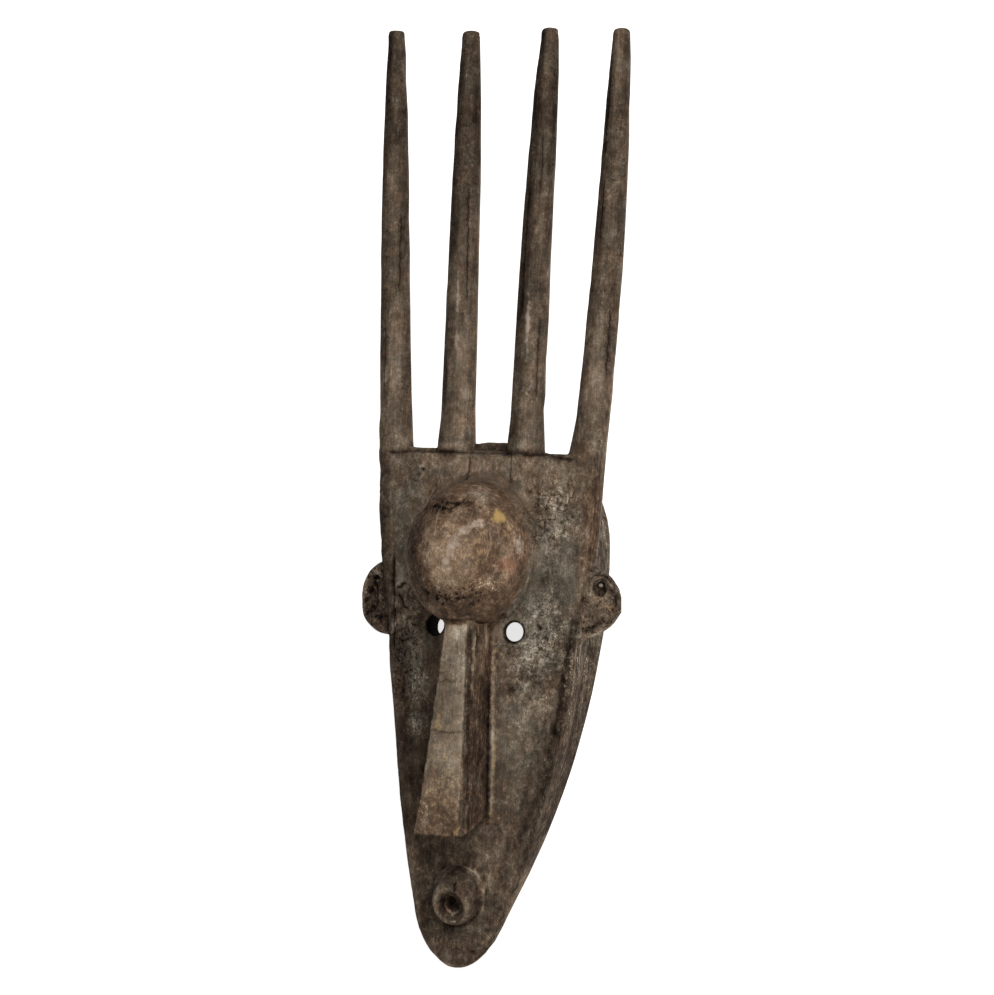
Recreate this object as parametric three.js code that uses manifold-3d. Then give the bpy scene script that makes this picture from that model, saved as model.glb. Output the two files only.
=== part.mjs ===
// A tall horned face mask, carved in one piece from a single block of wood.
// It is a long convex face that narrows to a rounded chin, with a bulging forehead dome, a straight
// ridge of a nose, two round eye holes, a drooping tube of a mouth, two lug ears, and a comb of four
// tapering horns on its upper edge. Behind the face is a hollow for the wearer's face.
//
// The forms are first laid out in the carver's frame, in millimetres: x to the right of someone who
// looks at the face, y up the face from the tip of the chin, z out of the face, with z = 0 near the
// face's surface. The finished carving is then laid on its back rim, which is trimmed flat.
import * as THREE from "three";
import { mergeVertices } from "three/addons/utils/BufferGeometryUtils.js";
import Module from "manifold-3d";

// Driving dimensions
const faceLength = 369; // chin tip to the upper edge between the horns
const hornRise = 303; // upper edge to the tip of the shortest horn
const chinDepth = 15; // face surface to the back rim, at the chin
const rimTilt = THREE.MathUtils.degToRad(12); // the back rim leans this much from the face
const faceThickness = 10.5;
const rimThickness = 7;
const trimAllowance = 4; // wood behind the rim's plane, trimmed off at the end
const boardThickness = 18; // the flat board that carries the horns
const boardStart = 205; // height on the face where the board leaves the side walls
const boardBlend = 238; // height where the board and the head swap which one shows
const blendLength = 28;
const blendDip = 0.7; // how far the hidden one of the two lies below the other
const shoulderDip = 14; // the top of the head, behind the board, rounds back this far
const upperLedge = { rise: 2.8, depth: 7, lean: 0.026 }; // behind the front edge, between the horns

// Half-widths of the face's outline, and of the back rim's, by height above the chin
const faceOutline = [
  [1, 0],
  [7, 14.3],
  [18, 24.6],
  [40, 34.8],
  [63, 42],
  [107, 52.5],
  [190, 66.8],
  [241, 74],
  [292, 84],
  [337, 87.2],
  [faceLength, 87.5],
];
const headOutline = [
  [1, 0],
  [7, 14.3],
  [18, 24.6],
  [40, 34.8],
  [63, 42],
  [107, 52.5],
  [190, 66.5],
  [241, 73.5],
  [292, 75],
  [330, 66],
  [354, 52],
  [370, 35],
  [379, 0],
];
const rimOutline = [
  [3.5, 0],
  [16, 13.5],
  [33, 23.3],
  [57, 33],
  [103, 49],
  [150, 60],
  [196, 66],
  [241, 68],
  [303, 63],
  [330, 55],
  [352, 43],
  [368, 28],
  [377, 0],
];
// How far the face falls back at its side edges, by height
const edgeDrop = [
  [0, 2],
  [49, 4],
  [120, 7],
  [191, 9],
  [241, 10],
  [292, 9],
  [337, 4],
  [faceLength, 2],
];
const crown = 2; // the middle of the face stands this much above z = 0
const convexity = 2.2; // power by which the face falls away to its edges
const cornerRadius = 5;
// Shallow valley along each edge of the face, fading out at both ends
const flute = { inset: 13, width: 4.5, depth: 1.8, from: 30, to: 330, fade: 55 };

// The wearer's hollow: how fast its outline and its roof round off towards chin and brow
const hollow = {
  from: 26,
  to: 357,
  chinRound: 24,
  browRound: 20,
  chinRamp: 40,
  browRamp: 34,
  squareness: 3.2,
};

const sink = 6; // how deep each feature is let into the face
const dome = { y: 297, centre: 18, radius: 41, skirt: 45, skirtTop: 10, stretch: 1.19 };
// The nose leans a little to the left as it comes down, less at its root than in front
const nose = {
  front: { bottom: 95, top: 252, bottomWidth: 36, topWidth: 18, bottomRise: 36, topRise: 32 },
  root: { bottom: 114, bottomWidth: 40, topWidth: 24 },
  middle: { frontBottom: -1.9, rootBottom: 1, top: 1.2 },
};
// The left eye was cut a little higher, and further from the nose
const eyes = {
  left: { x: -33.4, y: 245.9, radius: 7.2 },
  right: { x: 30.2, y: 243, radius: 7.4 },
  worn: 1.5,
  outwardTurn: THREE.MathUtils.degToRad(10),
};
const mouth = {
  x: 1.5,
  y: 54,
  droop: THREE.MathUtils.degToRad(24),
  rootRadius: 20,
  lipRadius: 14.3,
  lipWidth: 2.5,
  rise: 15,
  dishDepth: 4,
  holeRadius: 6.2,
  holeDepth: 20,
  stretch: 1.1,
};
const ears = { reach: 101.2, y: 265.5, height: 55, back: -27, thickness: 17, root: 74, edge: 4.5 };
// The left ear is scooped out; the right one has a deep round pit near its top
const scoop = { x: -92, y: 265, width: 13, height: 34, depth: 5 };
const pit = { x: 90, y: 277, width: 11, height: 14, depth: 7 };

// Each horn: sideways place at its root and tip, how far it bows to the right half way up, how far out
// of the face its root and tip lie, how much longer it is than the shortest, and its share of the
// common width
const horns = [
  { root: -78.3, tip: -90, bow: -1, rootZ: -8.5, tipZ: 12, longer: 3.2, girth: 0.94 },
  { root: -28.5, tip: -30.5, bow: 0.5, rootZ: -7.5, tipZ: 9, longer: 1.8, girth: 1 },
  { root: 27.5, tip: 33, bow: -1, rootZ: -7.5, tipZ: 9, longer: 2.5, girth: 1 },
  { root: 76, tip: 90, bow: 2.5, rootZ: -8.5, tipZ: 12, longer: 0, girth: 0.97 },
];
const hornShape = {
  halfWidth: 12.4,
  halfDepth: 9.2,
  taper: 3.2, // steady loss of half-width from root to tip
  tipTaper: 3.3, // further loss, close to the tip
  sunk: 14, // length of horn inside the board
  flare: 1.8, // how far the root spreads where it meets the board
  flareLength: 7,
  squareness: 2.5,
  sides: 16,
  tipRound: 2.2,
};

// Facets
const ringPoints = { face: 13, corner: 3, wall: 4, floor: 3 };
const stations = { head: 34, board: 16, hollow: 22, horn: 13 };

const wasm = await Module();
wasm.setup();

// A smooth function through [position, value] pairs.
function through(pairs) {
  const cubic = new THREE.CubicInterpolant(
    pairs.map(([at]) => at),
    pairs.map(([, value]) => value),
    1,
  );
  return (at) => cubic.evaluate(at)[0];
}

// A half-width is interpolated as its square, so that it closes as a round arc where it ends.
function outline(pairs) {
  const squared = through(pairs.map(([at, width]) => [at, width * width]));
  return (at) => Math.sqrt(Math.max(0, squared(at)));
}

const faceHalfWidth = outline(faceOutline);
const headHalfWidth = outline(headOutline);
const rimHalfWidth = outline(rimOutline);
const dropAtEdge = through(edgeDrop);
const rimZ = (y) => -(chinDepth + y * Math.tan(rimTilt));
const { lerp, smoothstep, mapLinear, clamp } = THREE.MathUtils;
const blendAt = (y) => smoothstep(y, boardBlend - blendLength / 2, boardBlend + blendLength / 2);

// Height of the face's surface over the carver's plane.
function faceSurface(x, y) {
  const half = Math.max(faceHalfWidth(y), 1);
  const share = Math.min(Math.abs(x) / half, 1);
  const { inset, width, depth, from, to, fade } = flute;
  const fromFlute = (Math.abs(x) - (half - inset)) / width;
  const depthHere = depth * smoothstep(y, from, from + fade) * (1 - smoothstep(y, to - fade, to));
  return crown - dropAtEdge(y) * share ** convexity - depthHere * Math.exp(-(fromFlute ** 2));
}

// Rings of points, joined one to the next and closed by a fan at each end.
function loft(rings) {
  const count = rings[0].length;
  const positions = rings.flat().flatMap((p) => [p.x, p.y, p.z]);
  const index = [];
  for (let r = 0; r + 1 < rings.length; r++)
    for (let i = 0; i < count; i++) {
      const next = (i + 1) % count;
      const [here, beyond] = [r * count, (r + 1) * count];
      index.push(here + i, here + next, beyond + next, here + i, beyond + next, beyond + i);
    }
  const last = rings.length - 1;
  for (const r of [0, last]) {
    const middle = new THREE.Vector3();
    for (const point of rings[r]) middle.addScaledVector(point, 1 / count);
    const hub = positions.length / 3;
    positions.push(middle.x, middle.y, middle.z);
    for (let i = 0; i < count; i++) {
      const [a, b] = [r * count + i, r * count + ((i + 1) % count)];
      if (r === 0) index.push(b, a, hub);
      else index.push(a, b, hub);
    }
  }
  const geometry = new THREE.BufferGeometry();
  geometry.setAttribute("position", new THREE.Float32BufferAttribute(positions, 3));
  geometry.setIndex(index);
  return geometry;
}

// A closed geometry as a solid, whichever way its faces point.
function solid(geometry) {
  const plain = new THREE.BufferGeometry();
  plain.setAttribute("position", geometry.getAttribute("position"));
  plain.setIndex(geometry.index);
  const merged = mergeVertices(plain, 1e-4);
  const vertProperties = merged.attributes.position.array;
  const triVerts = new Uint32Array(merged.index.array);
  const made = new wasm.Manifold(new wasm.Mesh({ numProp: 3, vertProperties, triVerts }));
  if (made.volume() > 0) return made;
  return new wasm.Manifold(new wasm.Mesh({ numProp: 3, vertProperties, triVerts: triVerts.reverse() }));
}

// The right half of a section, from the middle of the front round to the middle of the back, becomes
// a ring. A point may carry its own height; otherwise it has the section's.
function mirrored(half, y) {
  const right = half.map(([x, z, own]) => new THREE.Vector3(x, own ?? y, z));
  const left = right
    .slice(1, -1)
    .reverse()
    .map((point) => new THREE.Vector3(-point.x, point.y, point.z));
  return [...right, ...left];
}

// Front of a section: close together near the edge, where the flute lies.
function frontPoints(y, halfWidth, sunk) {
  const flat = halfWidth - Math.min(cornerRadius, halfWidth * 0.35);
  const half = [];
  for (let i = 0; i < ringPoints.face; i++) {
    const x = flat * (1 - (1 - i / (ringPoints.face - 1)) ** 1.6);
    half.push([x, faceSurface(x, y) - sunk]);
  }
  return half;
}

// A rounded corner from the front's last point out to the side.
function cornerPoints([x, z], halfWidth) {
  const wide = halfWidth - x;
  const half = [];
  for (let i = 1; i <= ringPoints.corner; i++) {
    const turn = (Math.PI / 2) * (i / ringPoints.corner);
    half.push([x + wide * Math.sin(turn), z - wide * 1.1 * (1 - Math.cos(turn))]);
  }
  return half;
}

// The head is the bowl of the mask: the face's front, and walls that run back to the rim.
function headSection(y) {
  const halfWidth = headHalfWidth(y);
  const [bottom, top] = [headOutline[0][0], headOutline.at(-1)[0]];
  const shoulder = smoothstep(y, faceLength - 8, top) * shoulderDip;
  const half = frontPoints(y, halfWidth, blendDip * blendAt(y) + shoulder);
  half.push(...cornerPoints(half.at(-1), halfWidth));
  const backY = mapLinear(y, bottom, top, rimOutline[0][0], rimOutline.at(-1)[0]);
  const [x0, z0] = half.at(-1);
  const [x1, z1] = [rimHalfWidth(backY), rimZ(backY)];
  for (let i = 1; i <= ringPoints.wall; i++) {
    const share = i / ringPoints.wall;
    half.push([lerp(x0, x1, share), lerp(z0, z1, share), lerp(y, backY, share)]);
  }
  for (let i = 0; i <= ringPoints.floor; i++)
    half.push([x1 * (1 - i / ringPoints.floor), z1 - trimAllowance, backY]);
  return mirrored(half, y);
}

// Stations closer together near both ends, where the outline turns quickly.
function easedStations(from, to, count) {
  const step = Math.PI / (count - 1);
  return Array.from({ length: count }, (_, i) => lerp(from, to, 0.5 - 0.5 * Math.cos(step * i)));
}

function makeHead() {
  const clearOfPoint = 0.4;
  const [bottom, top] = [headOutline[0][0], headOutline.at(-1)[0]];
  const rows = easedStations(bottom + clearOfPoint, top - clearOfPoint, stations.head);
  return solid(loft(rows.map(headSection)));
}

// The board is the flat upper part of the face, wider than the bowl behind it.
function boardSection(y) {
  const hidden = 1 - blendAt(y);
  const halfWidth = faceHalfWidth(y) - blendDip * hidden;
  const ledge = (Math.max(0, y - faceLength) / upperLedge.rise) * upperLedge.depth;
  const half = frontPoints(y, halfWidth, blendDip * hidden + ledge);
  half.push(...cornerPoints(half.at(-1), halfWidth));
  const back = crown - boardThickness;
  half.push([halfWidth - 1.5, back - dropAtEdge(y) * 0.5]);
  half.push([halfWidth * 0.7, back - dropAtEdge(y) * 0.25]);
  half.push([0, back]);
  return mirrored(half, y);
}

function makeBoard() {
  const rows = Array.from({ length: stations.board }, (_, i) =>
    lerp(boardStart, faceLength, i / (stations.board - 1)),
  );
  const ledge = boardSection(faceLength + upperLedge.rise);
  for (const point of ledge) point.y -= point.x * upperLedge.lean;
  return solid(loft([...rows.map(boardSection), ledge]));
}

// How far along a quarter round a height is, counted in from both ends of the hollow.
function roundedIn(y, chinLength, browLength) {
  const share = clamp(Math.min((y - hollow.from) / chinLength, (hollow.to - y) / browLength), 0, 1);
  return Math.sqrt(1 - (1 - share) ** 2);
}

// The hollow is a long vault over the back rim's inner outline.
function hollowSection(y) {
  const halfWidth = (rimHalfWidth(y) - rimThickness) * roundedIn(y, hollow.chinRound, hollow.browRound);
  const roof = faceSurface(0, y) - faceThickness;
  const high = lerp(rimZ(y), roof, roundedIn(y, hollow.chinRamp, hollow.browRamp));
  const half = [];
  const steps = 8;
  for (let i = 0; i <= steps; i++) {
    const turn = (Math.PI / 2) * (i / steps);
    const x = halfWidth * Math.sin(turn) ** (2 / hollow.squareness);
    half.push([x, lerp(rimZ(y), high, Math.cos(turn) ** (2 / hollow.squareness))]);
  }
  const below = rimZ(y) - 3 * trimAllowance;
  half.push([halfWidth, below], [0, below]);
  return mirrored(half, y);
}

function makeHollow() {
  const clearOfPoint = 0.4;
  const rows = easedStations(hollow.from + clearOfPoint, hollow.to - clearOfPoint, stations.hollow);
  return solid(loft(rows.map(hollowSection)));
}

// A ring across a horn: an oval with flattened sides.
function hornRing([x, y, z, halfWidth, halfDepth]) {
  const rounder = (v) => Math.sign(v) * Math.abs(v) ** (2 / hornShape.squareness);
  return Array.from({ length: hornShape.sides }, (_, i) => {
    const turn = (2 * Math.PI * i) / hornShape.sides;
    const [across, out] = [rounder(Math.cos(turn)), rounder(Math.sin(turn))];
    return new THREE.Vector3(x + halfWidth * across, y, z + halfDepth * out);
  });
}

function makeHorn({ root, tip, bow, rootZ, tipZ, longer, girth }) {
  const shape = hornShape;
  const length = hornRise + longer;
  const rings = [];
  for (let i = 0; i < stations.horn; i++) {
    const t = i / (stations.horn - 1);
    const x = lerp(root, tip, t) + bow * 4 * t * (1 - t);
    const flare = shape.flare * Math.exp((-t * length) / shape.flareLength);
    const loss = shape.taper * t + shape.tipTaper * t ** 4;
    const halfWidth = (shape.halfWidth - loss) * girth + flare;
    rings.push([x, faceLength + length * t, lerp(rootZ, tipZ, t), halfWidth, shape.halfDepth - loss * 0.6]);
  }
  const [x0, y0, z0, width0, depth0] = rings[0];
  rings.unshift([x0, y0 - shape.sunk, z0 - 1, width0 - 3, depth0 - 3]);
  const [x1, y1, z1, width1, depth1] = rings.pop();
  rings.push([x1, y1 - shape.tipRound, z1, width1, depth1]);
  rings.push([x1, y1, z1, width1 - shape.tipRound * 0.8, depth1 - shape.tipRound * 0.8]);
  return solid(loft(rings.map(hornRing)));
}

// The dome is most of a ball on a short flared skirt, drawn out upwards.
function makeDome() {
  const profile = [new THREE.Vector2(0, -sink), new THREE.Vector2(dome.skirt, -sink)];
  profile.push(new THREE.Vector2(dome.skirt, 0.5));
  profile.push(new THREE.Vector2(lerp(dome.radius, dome.skirt, 0.3), dome.skirtTop * 0.45));
  profile.push(new THREE.Vector2(dome.radius + 0.2, dome.skirtTop));
  const steps = 11;
  for (let i = 0; i <= steps; i++) {
    const turn = (Math.PI / 2) * (i / steps);
    const r = i < steps ? dome.radius * Math.cos(turn) : 0;
    profile.push(new THREE.Vector2(r, dome.centre + dome.radius * Math.sin(turn)));
  }
  const geometry = new THREE.LatheGeometry(profile, 36).rotateX(Math.PI / 2);
  return solid(geometry.scale(1, dome.stretch, 1).translate(0, dome.y, 0));
}

// The nose is its side profile, extruded across and then tapered.
function makeNose() {
  const { front, root, middle } = nose;
  const side = new THREE.Shape();
  side.moveTo(root.bottom, -sink);
  side.lineTo(root.bottom, 0);
  side.lineTo(front.bottom, front.bottomRise);
  side.lineTo(front.top, front.topRise);
  side.lineTo(front.top, -sink);
  const geometry = new THREE.ExtrudeGeometry(side, { depth: 1, steps: 1, bevelEnabled: false });
  const place = geometry.getAttribute("position");
  for (let i = 0; i < place.count; i++) {
    const [y, z, across] = [place.getX(i), place.getY(i), place.getZ(i) - 0.5];
    const up = (y - front.bottom) / (front.top - front.bottom);
    const out = clamp(z / front.bottomRise, 0, 1);
    const rootWidth = lerp(root.bottomWidth, root.topWidth, up);
    const frontWidth = lerp(front.bottomWidth, front.topWidth, up);
    const shift = lerp(lerp(middle.rootBottom, middle.frontBottom, out), middle.top, up);
    place.setXYZ(i, shift + across * lerp(rootWidth, frontWidth, out), y, z);
  }
  return solid(geometry);
}

// The mouth's tube, and the blind hole in it, turned about its own drooping axis.
function turnedMouth(profile) {
  const points = profile.map(([r, along]) => new THREE.Vector2(r, along));
  return solid(
    new THREE.LatheGeometry(points, 24)
      .rotateX(Math.PI / 2)
      .scale(1, mouth.stretch, 1)
      .rotateX(mouth.droop)
      .translate(mouth.x, mouth.y, faceSurface(mouth.x, mouth.y)),
  );
}

const makeMouth = () =>
  turnedMouth([
    [0, -sink],
    [mouth.rootRadius, -sink],
    [mouth.rootRadius, 0],
    [mouth.lipRadius + 2.2, mouth.rise * 0.4],
    [mouth.lipRadius + 0.5, mouth.rise * 0.8],
    [mouth.lipRadius, mouth.rise],
    [mouth.lipRadius - mouth.lipWidth, mouth.rise + 0.4],
    [0, mouth.rise + 0.4],
  ]);

const makeMouthHole = () =>
  turnedMouth([
    [0, mouth.rise - mouth.holeDepth],
    [mouth.holeRadius - 1, mouth.rise - mouth.holeDepth],
    [mouth.holeRadius, mouth.rise - mouth.dishDepth],
    [mouth.lipRadius - mouth.lipWidth, mouth.rise + 1],
    [mouth.lipRadius - mouth.lipWidth, mouth.rise + sink],
    [0, mouth.rise + sink],
  ]);

// An ear is a half-round lug with softened edges, let into the side wall.
function makeEar(side) {
  const { reach, y, height, back, thickness, root, edge } = ears;
  const halfHeight = height / 2 - edge;
  const shape = new THREE.Shape();
  shape.absellipse(root, y, reach - root - edge, halfHeight, -Math.PI / 2, Math.PI / 2, false, 0);
  shape.lineTo(root - sink, y + halfHeight);
  shape.lineTo(root - sink, y - halfHeight);
  const lug = new THREE.ExtrudeGeometry(shape, {
    depth: thickness - 2 * edge,
    steps: 1,
    curveSegments: 14,
    bevelThickness: edge,
    bevelSize: edge,
    bevelSegments: 2,
  }).translate(0, 0, back + edge);
  return side > 0 ? solid(lug) : solid(lug).mirror([1, 0, 0]);
}

// An oval hollow sunk into an ear's front.
function makeEarHollow({ x, y, width, height, depth }) {
  const front = ears.back + ears.thickness;
  const ball = new THREE.SphereGeometry(1, 16, 12).scale(width / 2, height / 2, depth);
  return solid(ball.translate(x, y, front));
}

// An eye is a round bore, turned a little outwards, with a worn front edge.
function makeEyeHole({ x, y, radius }) {
  const { worn, outwardTurn } = eyes;
  const boreLength = 60;
  const bore = new THREE.CylinderGeometry(radius, radius, boreLength, 24).rotateX(Math.PI / 2);
  const edge = new THREE.CylinderGeometry(radius + worn, radius - worn / 3, 2 * worn, 24)
    .rotateX(Math.PI / 2)
    .translate(0, 0, worn * 0.7);
  const place = (geometry) =>
    solid(geometry.rotateY(Math.sign(x) * outwardTurn).translate(x, y, faceSurface(x, y)));
  return place(bore).add(place(edge));
}

function carveMask() {
  let mask = makeHead().add(makeBoard()).subtract(makeHollow());
  for (const horn of horns) mask = mask.add(makeHorn(horn));
  for (const side of [-1, 1]) mask = mask.add(makeEar(side));
  for (const earHollow of [scoop, pit]) mask = mask.subtract(makeEarHollow(earHollow));
  mask = mask.add(makeNose()).add(makeMouth()).add(makeDome());
  for (const eye of [eyes.left, eyes.right]) mask = mask.subtract(makeEyeHole(eye));
  return mask.subtract(makeMouthHole());
}

// Turns the carving onto its back rim, trims that rim flat, and puts the origin under its middle.
function layOnRim(mask) {
  const tilt = THREE.MathUtils.radToDeg(rimTilt);
  const turned = mask.rotate([tilt, 0, 0]).translate([0, 0, chinDepth * Math.cos(rimTilt)]);
  const size = 1000;
  const below = solid(new THREE.BoxGeometry(size, 2 * size, size).translate(0, 0, -size / 2));
  const trimmed = turned.subtract(below);
  const { min, max } = trimmed.boundingBox();
  return trimmed.translate([-(min[0] + max[0]) / 2, -(min[1] + max[1]) / 2, 0]);
}

function geometryOf(made) {
  const { vertProperties, triVerts } = made.getMesh();
  const geometry = new THREE.BufferGeometry();
  geometry.setAttribute("position", new THREE.BufferAttribute(vertProperties, 3));
  geometry.setIndex(new THREE.BufferAttribute(triVerts, 1));
  geometry.computeVertexNormals();
  return geometry;
}

const agedWood = new THREE.MeshStandardMaterial({ color: 0x5a4c3f, roughness: 0.72, metalness: 0 });
const carvedMask = new THREE.Mesh(geometryOf(layOnRim(carveMask())), agedWood);
carvedMask.name = "carved_mask";

const maskGroup = new THREE.Group();
maskGroup.add(carvedMask);
export default maskGroup;
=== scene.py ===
import math
from functools import partial

import bpy
import numpy as np
from mathutils import Matrix, Vector


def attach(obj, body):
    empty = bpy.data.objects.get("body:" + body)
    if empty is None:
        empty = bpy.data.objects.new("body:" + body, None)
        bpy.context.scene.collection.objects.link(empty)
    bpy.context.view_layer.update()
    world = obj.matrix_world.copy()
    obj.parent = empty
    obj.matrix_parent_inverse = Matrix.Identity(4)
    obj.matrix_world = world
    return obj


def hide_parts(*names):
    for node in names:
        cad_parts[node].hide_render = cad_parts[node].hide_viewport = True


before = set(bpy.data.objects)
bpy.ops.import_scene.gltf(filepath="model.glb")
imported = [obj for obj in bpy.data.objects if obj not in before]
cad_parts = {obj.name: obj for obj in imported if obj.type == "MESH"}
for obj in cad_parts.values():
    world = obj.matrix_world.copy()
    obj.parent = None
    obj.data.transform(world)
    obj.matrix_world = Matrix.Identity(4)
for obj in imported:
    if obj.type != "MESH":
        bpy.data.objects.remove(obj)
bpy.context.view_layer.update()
bpy.ops.object.select_all(action="DESELECT")

# The shaping below is done in the carver's frame, in millimetres: x to the right of someone who
# looks at the face, y up it from the chin tip, z out of it. Plain numbers inside step and beside
# a comparison are places in that frame, between which a change fades in
rest = {"tilt": math.radians(12), "lift": 14.67, "middle": 330.2}


def tilted(p, angle):  # turned about the line across the face
    x, y, z = p.T
    c, s = math.cos(angle), math.sin(angle)
    return np.stack([x, y * c + z * s, z * c - y * s], 1)


def toFace(points):
    return tilted(points * 1000 + (0, rest["middle"], -rest["lift"]), rest["tilt"])


def toRow(points):
    p = tilted(points, -rest["tilt"]) - (0, rest["middle"], -rest["lift"])
    p[:, 2] = np.maximum(p[:, 2], 0)  # nothing sinks into the table
    return p / 1000


def readAll(items, name, width, kind=np.float32):
    flat = np.empty(len(items) * width, kind)
    items.foreach_get(name, flat)
    return flat.reshape(-1, width)


def readPoints(obj):
    return toFace(readAll(obj.data.vertices, "co", 3).astype(float))


def writePoints(obj, points):
    obj.data.vertices.foreach_set("co", toRow(points).astype(np.float32).ravel())
    obj.data.update()


def readNormals(obj):
    return tilted(readAll(obj.data.vertex_normals, "vector", 3).astype(float), rest["tilt"])


def readEdges(obj):
    return readAll(obj.data.edges, "vertices", 2, np.int32)


def relax(values, edges, rounds, share=0.5):  # each value drifts towards the mean of its neighbours
    a, b = edges[:, 0], edges[:, 1]
    total = len(values)
    count = np.maximum(np.bincount(a, minlength=total) + np.bincount(b, minlength=total), 1)
    v = values.reshape(total, -1).astype(float)
    for _ in range(rounds):
        for k in range(v.shape[1]):
            mean = np.bincount(a, v[b, k], total) + np.bincount(b, v[a, k], total)
            v[:, k] += share * (mean / count - v[:, k])
    return v.reshape(values.shape)


def step(value, low, high):  # rises softly from 0 at low to 1 at high
    t = np.clip((value - low) / (high - low), 0, 1)
    return t * t * (3 - 2 * t)


def bell(value, middle, width):  # 1 at the middle, falling away on both sides
    return np.exp(-(((value - middle) / width) ** 2))


def follow(table, at):  # reads a table of places and amounts
    return np.interp(at, *zip(*table))


def scatter(cells, seed):  # one fixed number from 0 to 1 for each whole-numbered cell
    h = cells[..., 0] * 374761393 + cells[..., 1] * 668265263 + cells[..., 2] * 1274126177 + seed * 97531
    h = (h ^ (h >> 13)) & 0xFFFFFFFF
    h = (h * 1274126177) & 0xFFFFFFFF
    return ((h ^ (h >> 16)) & 0xFFFF) / 65535.0


def lumps(points, size, seed, octaves=2):  # smooth noise from -1 to 1; size is a lump in mm along each axis
    total, weight, amount = 0.0, 0.0, 1.0
    for octave in range(octaves):
        p = points / np.array(size, float) * 2**octave + octave * 17.3
        cell = np.floor(p).astype(np.int64)
        f = p - cell
        f = f * f * (3 - 2 * f)
        mixed = 0.0
        for corner in np.ndindex(2, 2, 2):
            share = np.prod(np.where(np.array(corner) == 1, f, 1 - f), axis=1)
            mixed = mixed + share * scatter(cell + np.array(corner), seed + octave)
        total = total + amount * (mixed * 2 - 1)
        weight += amount
        amount *= 0.5
    return total / weight


def cuts(points, size, seed):  # distance from the nearest tool cut's middle: about 1 between two cuts
    p = points / np.array(size, float)
    cell = np.floor(p).astype(np.int64)
    best = np.full(len(p), 9.0)
    for corner in np.ndindex(3, 3, 3):
        near = cell + np.array(corner) - 1
        spot = near + np.stack([scatter(near, seed + k) for k in range(3)], 1)
        best = np.minimum(best, ((spot - p) ** 2).sum(1))
    return np.sqrt(best)


# The CAD solid is the blank, made into one even skin
blank = {"merge": 1e-5, "voxel": 0.00115, "softenRounds": 4, "regain": 0.45, "tris": 196000}


def copyBlank(node):
    mesh = node.data.copy()
    mesh.name = "carved_wood_mask"
    mesh.materials.clear()
    obj = bpy.data.objects.new("carved_wood_mask", mesh)
    bpy.context.scene.collection.objects.link(obj)
    bpy.context.view_layer.objects.active = obj
    obj.select_set(True)
    bpy.ops.object.mode_set(mode="EDIT")
    bpy.ops.mesh.select_all(action="SELECT")
    bpy.ops.mesh.remove_doubles(threshold=blank["merge"])
    bpy.ops.object.mode_set(mode="OBJECT")
    remesh = obj.modifiers.new("even", "REMESH")
    remesh.mode = "VOXEL"
    remesh.voxel_size = blank["voxel"]
    bpy.ops.object.modifier_apply(modifier="even")
    return obj


mask = copyBlank(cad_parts["carved_mask"])
print("blank:", len(mask.data.vertices), "points")
edges = readEdges(mask)


def renew(newPoints):  # puts the points back and returns how the surface faces there
    writePoints(mask, newPoints)
    return readNormals(mask)


def facesOut(n):
    return n[:, 2] > -0.15


points = relax(readPoints(mask), edges, blank["softenRounds"])
points += renew(points) * blank["regain"]  # softening took a little off all round

# A carver's eye isn't a ruler, so the two sides of the face differ a little
outline = {
    # height on the face, and how far that edge moves to the right
    "left": [
        (2, 0), (12, -2.4), (24, -1.6), (45, -1.2), (80, -0.8), (140, -1.2), (185, -1.5), (215, -2.4),
        (240, -2.2), (262, -0.6), (300, -0.7), (335, -1.2), (372, -0.6), (400, 0),
    ],
    "right": [
        (0, 0), (60, 0.6), (85, 1.2), (120, 2.0), (150, 3.0), (190, 3.6), (215, 3.2), (232, 1.0),
        (250, -0.6), (335, -1.3), (360, -1.0), (400, 0),
    ],
    "rear": [(260, 0), (300, 0.8), (325, 2.6), (345, 3.0), (380, 2.0)],  # the head behind the board
    # height on the face, and how far the ear's edge moves outwards
    "leftEar": [(235, 0.2), (250, 0.8), (262, -0.5), (274, 0.2), (285, 1.2), (295, 1.0)],
    "rightEar": [(235, 0.2), (262, 1.6), (285, 1.6), (295, 1.0)],
    "front": (-36, -20),  # between these depths the face gives way to the head behind it
    "grows": (28, 62),  # a move grows between these distances from the middle
    "growsAtChin": (8, 26),
    "chinUp": 1.6,
    "chinRounds": 30,  # how much the chin is softened
    "earLipUp": 4.0,  # the lower edge of the right ear
}


def pushSides(p):
    x, y, z = p.T
    nearChin = 1 - step(y, 25, 60)
    low, high = (a + (b - a) * nearChin for a, b in zip(outline["grows"], outline["growsAtChin"]))
    away = step(np.abs(x), low, high)
    front = step(z, *outline["front"])
    left = follow(outline["left"], y) * away * (x < 0) * front
    right = follow(outline["right"], y) * away * (x > 0) * front
    rear = follow(outline["rear"], y) * step(x, 20, 55) * (1 - front) * (y > 260)
    onEar = step(np.abs(x), 80, 92) * (np.abs(y - 265) < 34)
    ears = np.where(x < 0, -follow(outline["leftEar"], y), follow(outline["rightEar"], y))
    x += left + right + rear + ears * onEar
    earLip = step(265 - y, -6, 25) * step(x, 72, 79) * (y > 234)
    y += outline["chinUp"] * (1 - step(y, -4, 26)) + outline["earLipUp"] * earLip
    atChin = 1 - step(y, 16, 34)
    return p + atChin[:, None] * (relax(p, edges, outline["chinRounds"]) - p)


points = pushSides(points)
normals = renew(points)


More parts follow.
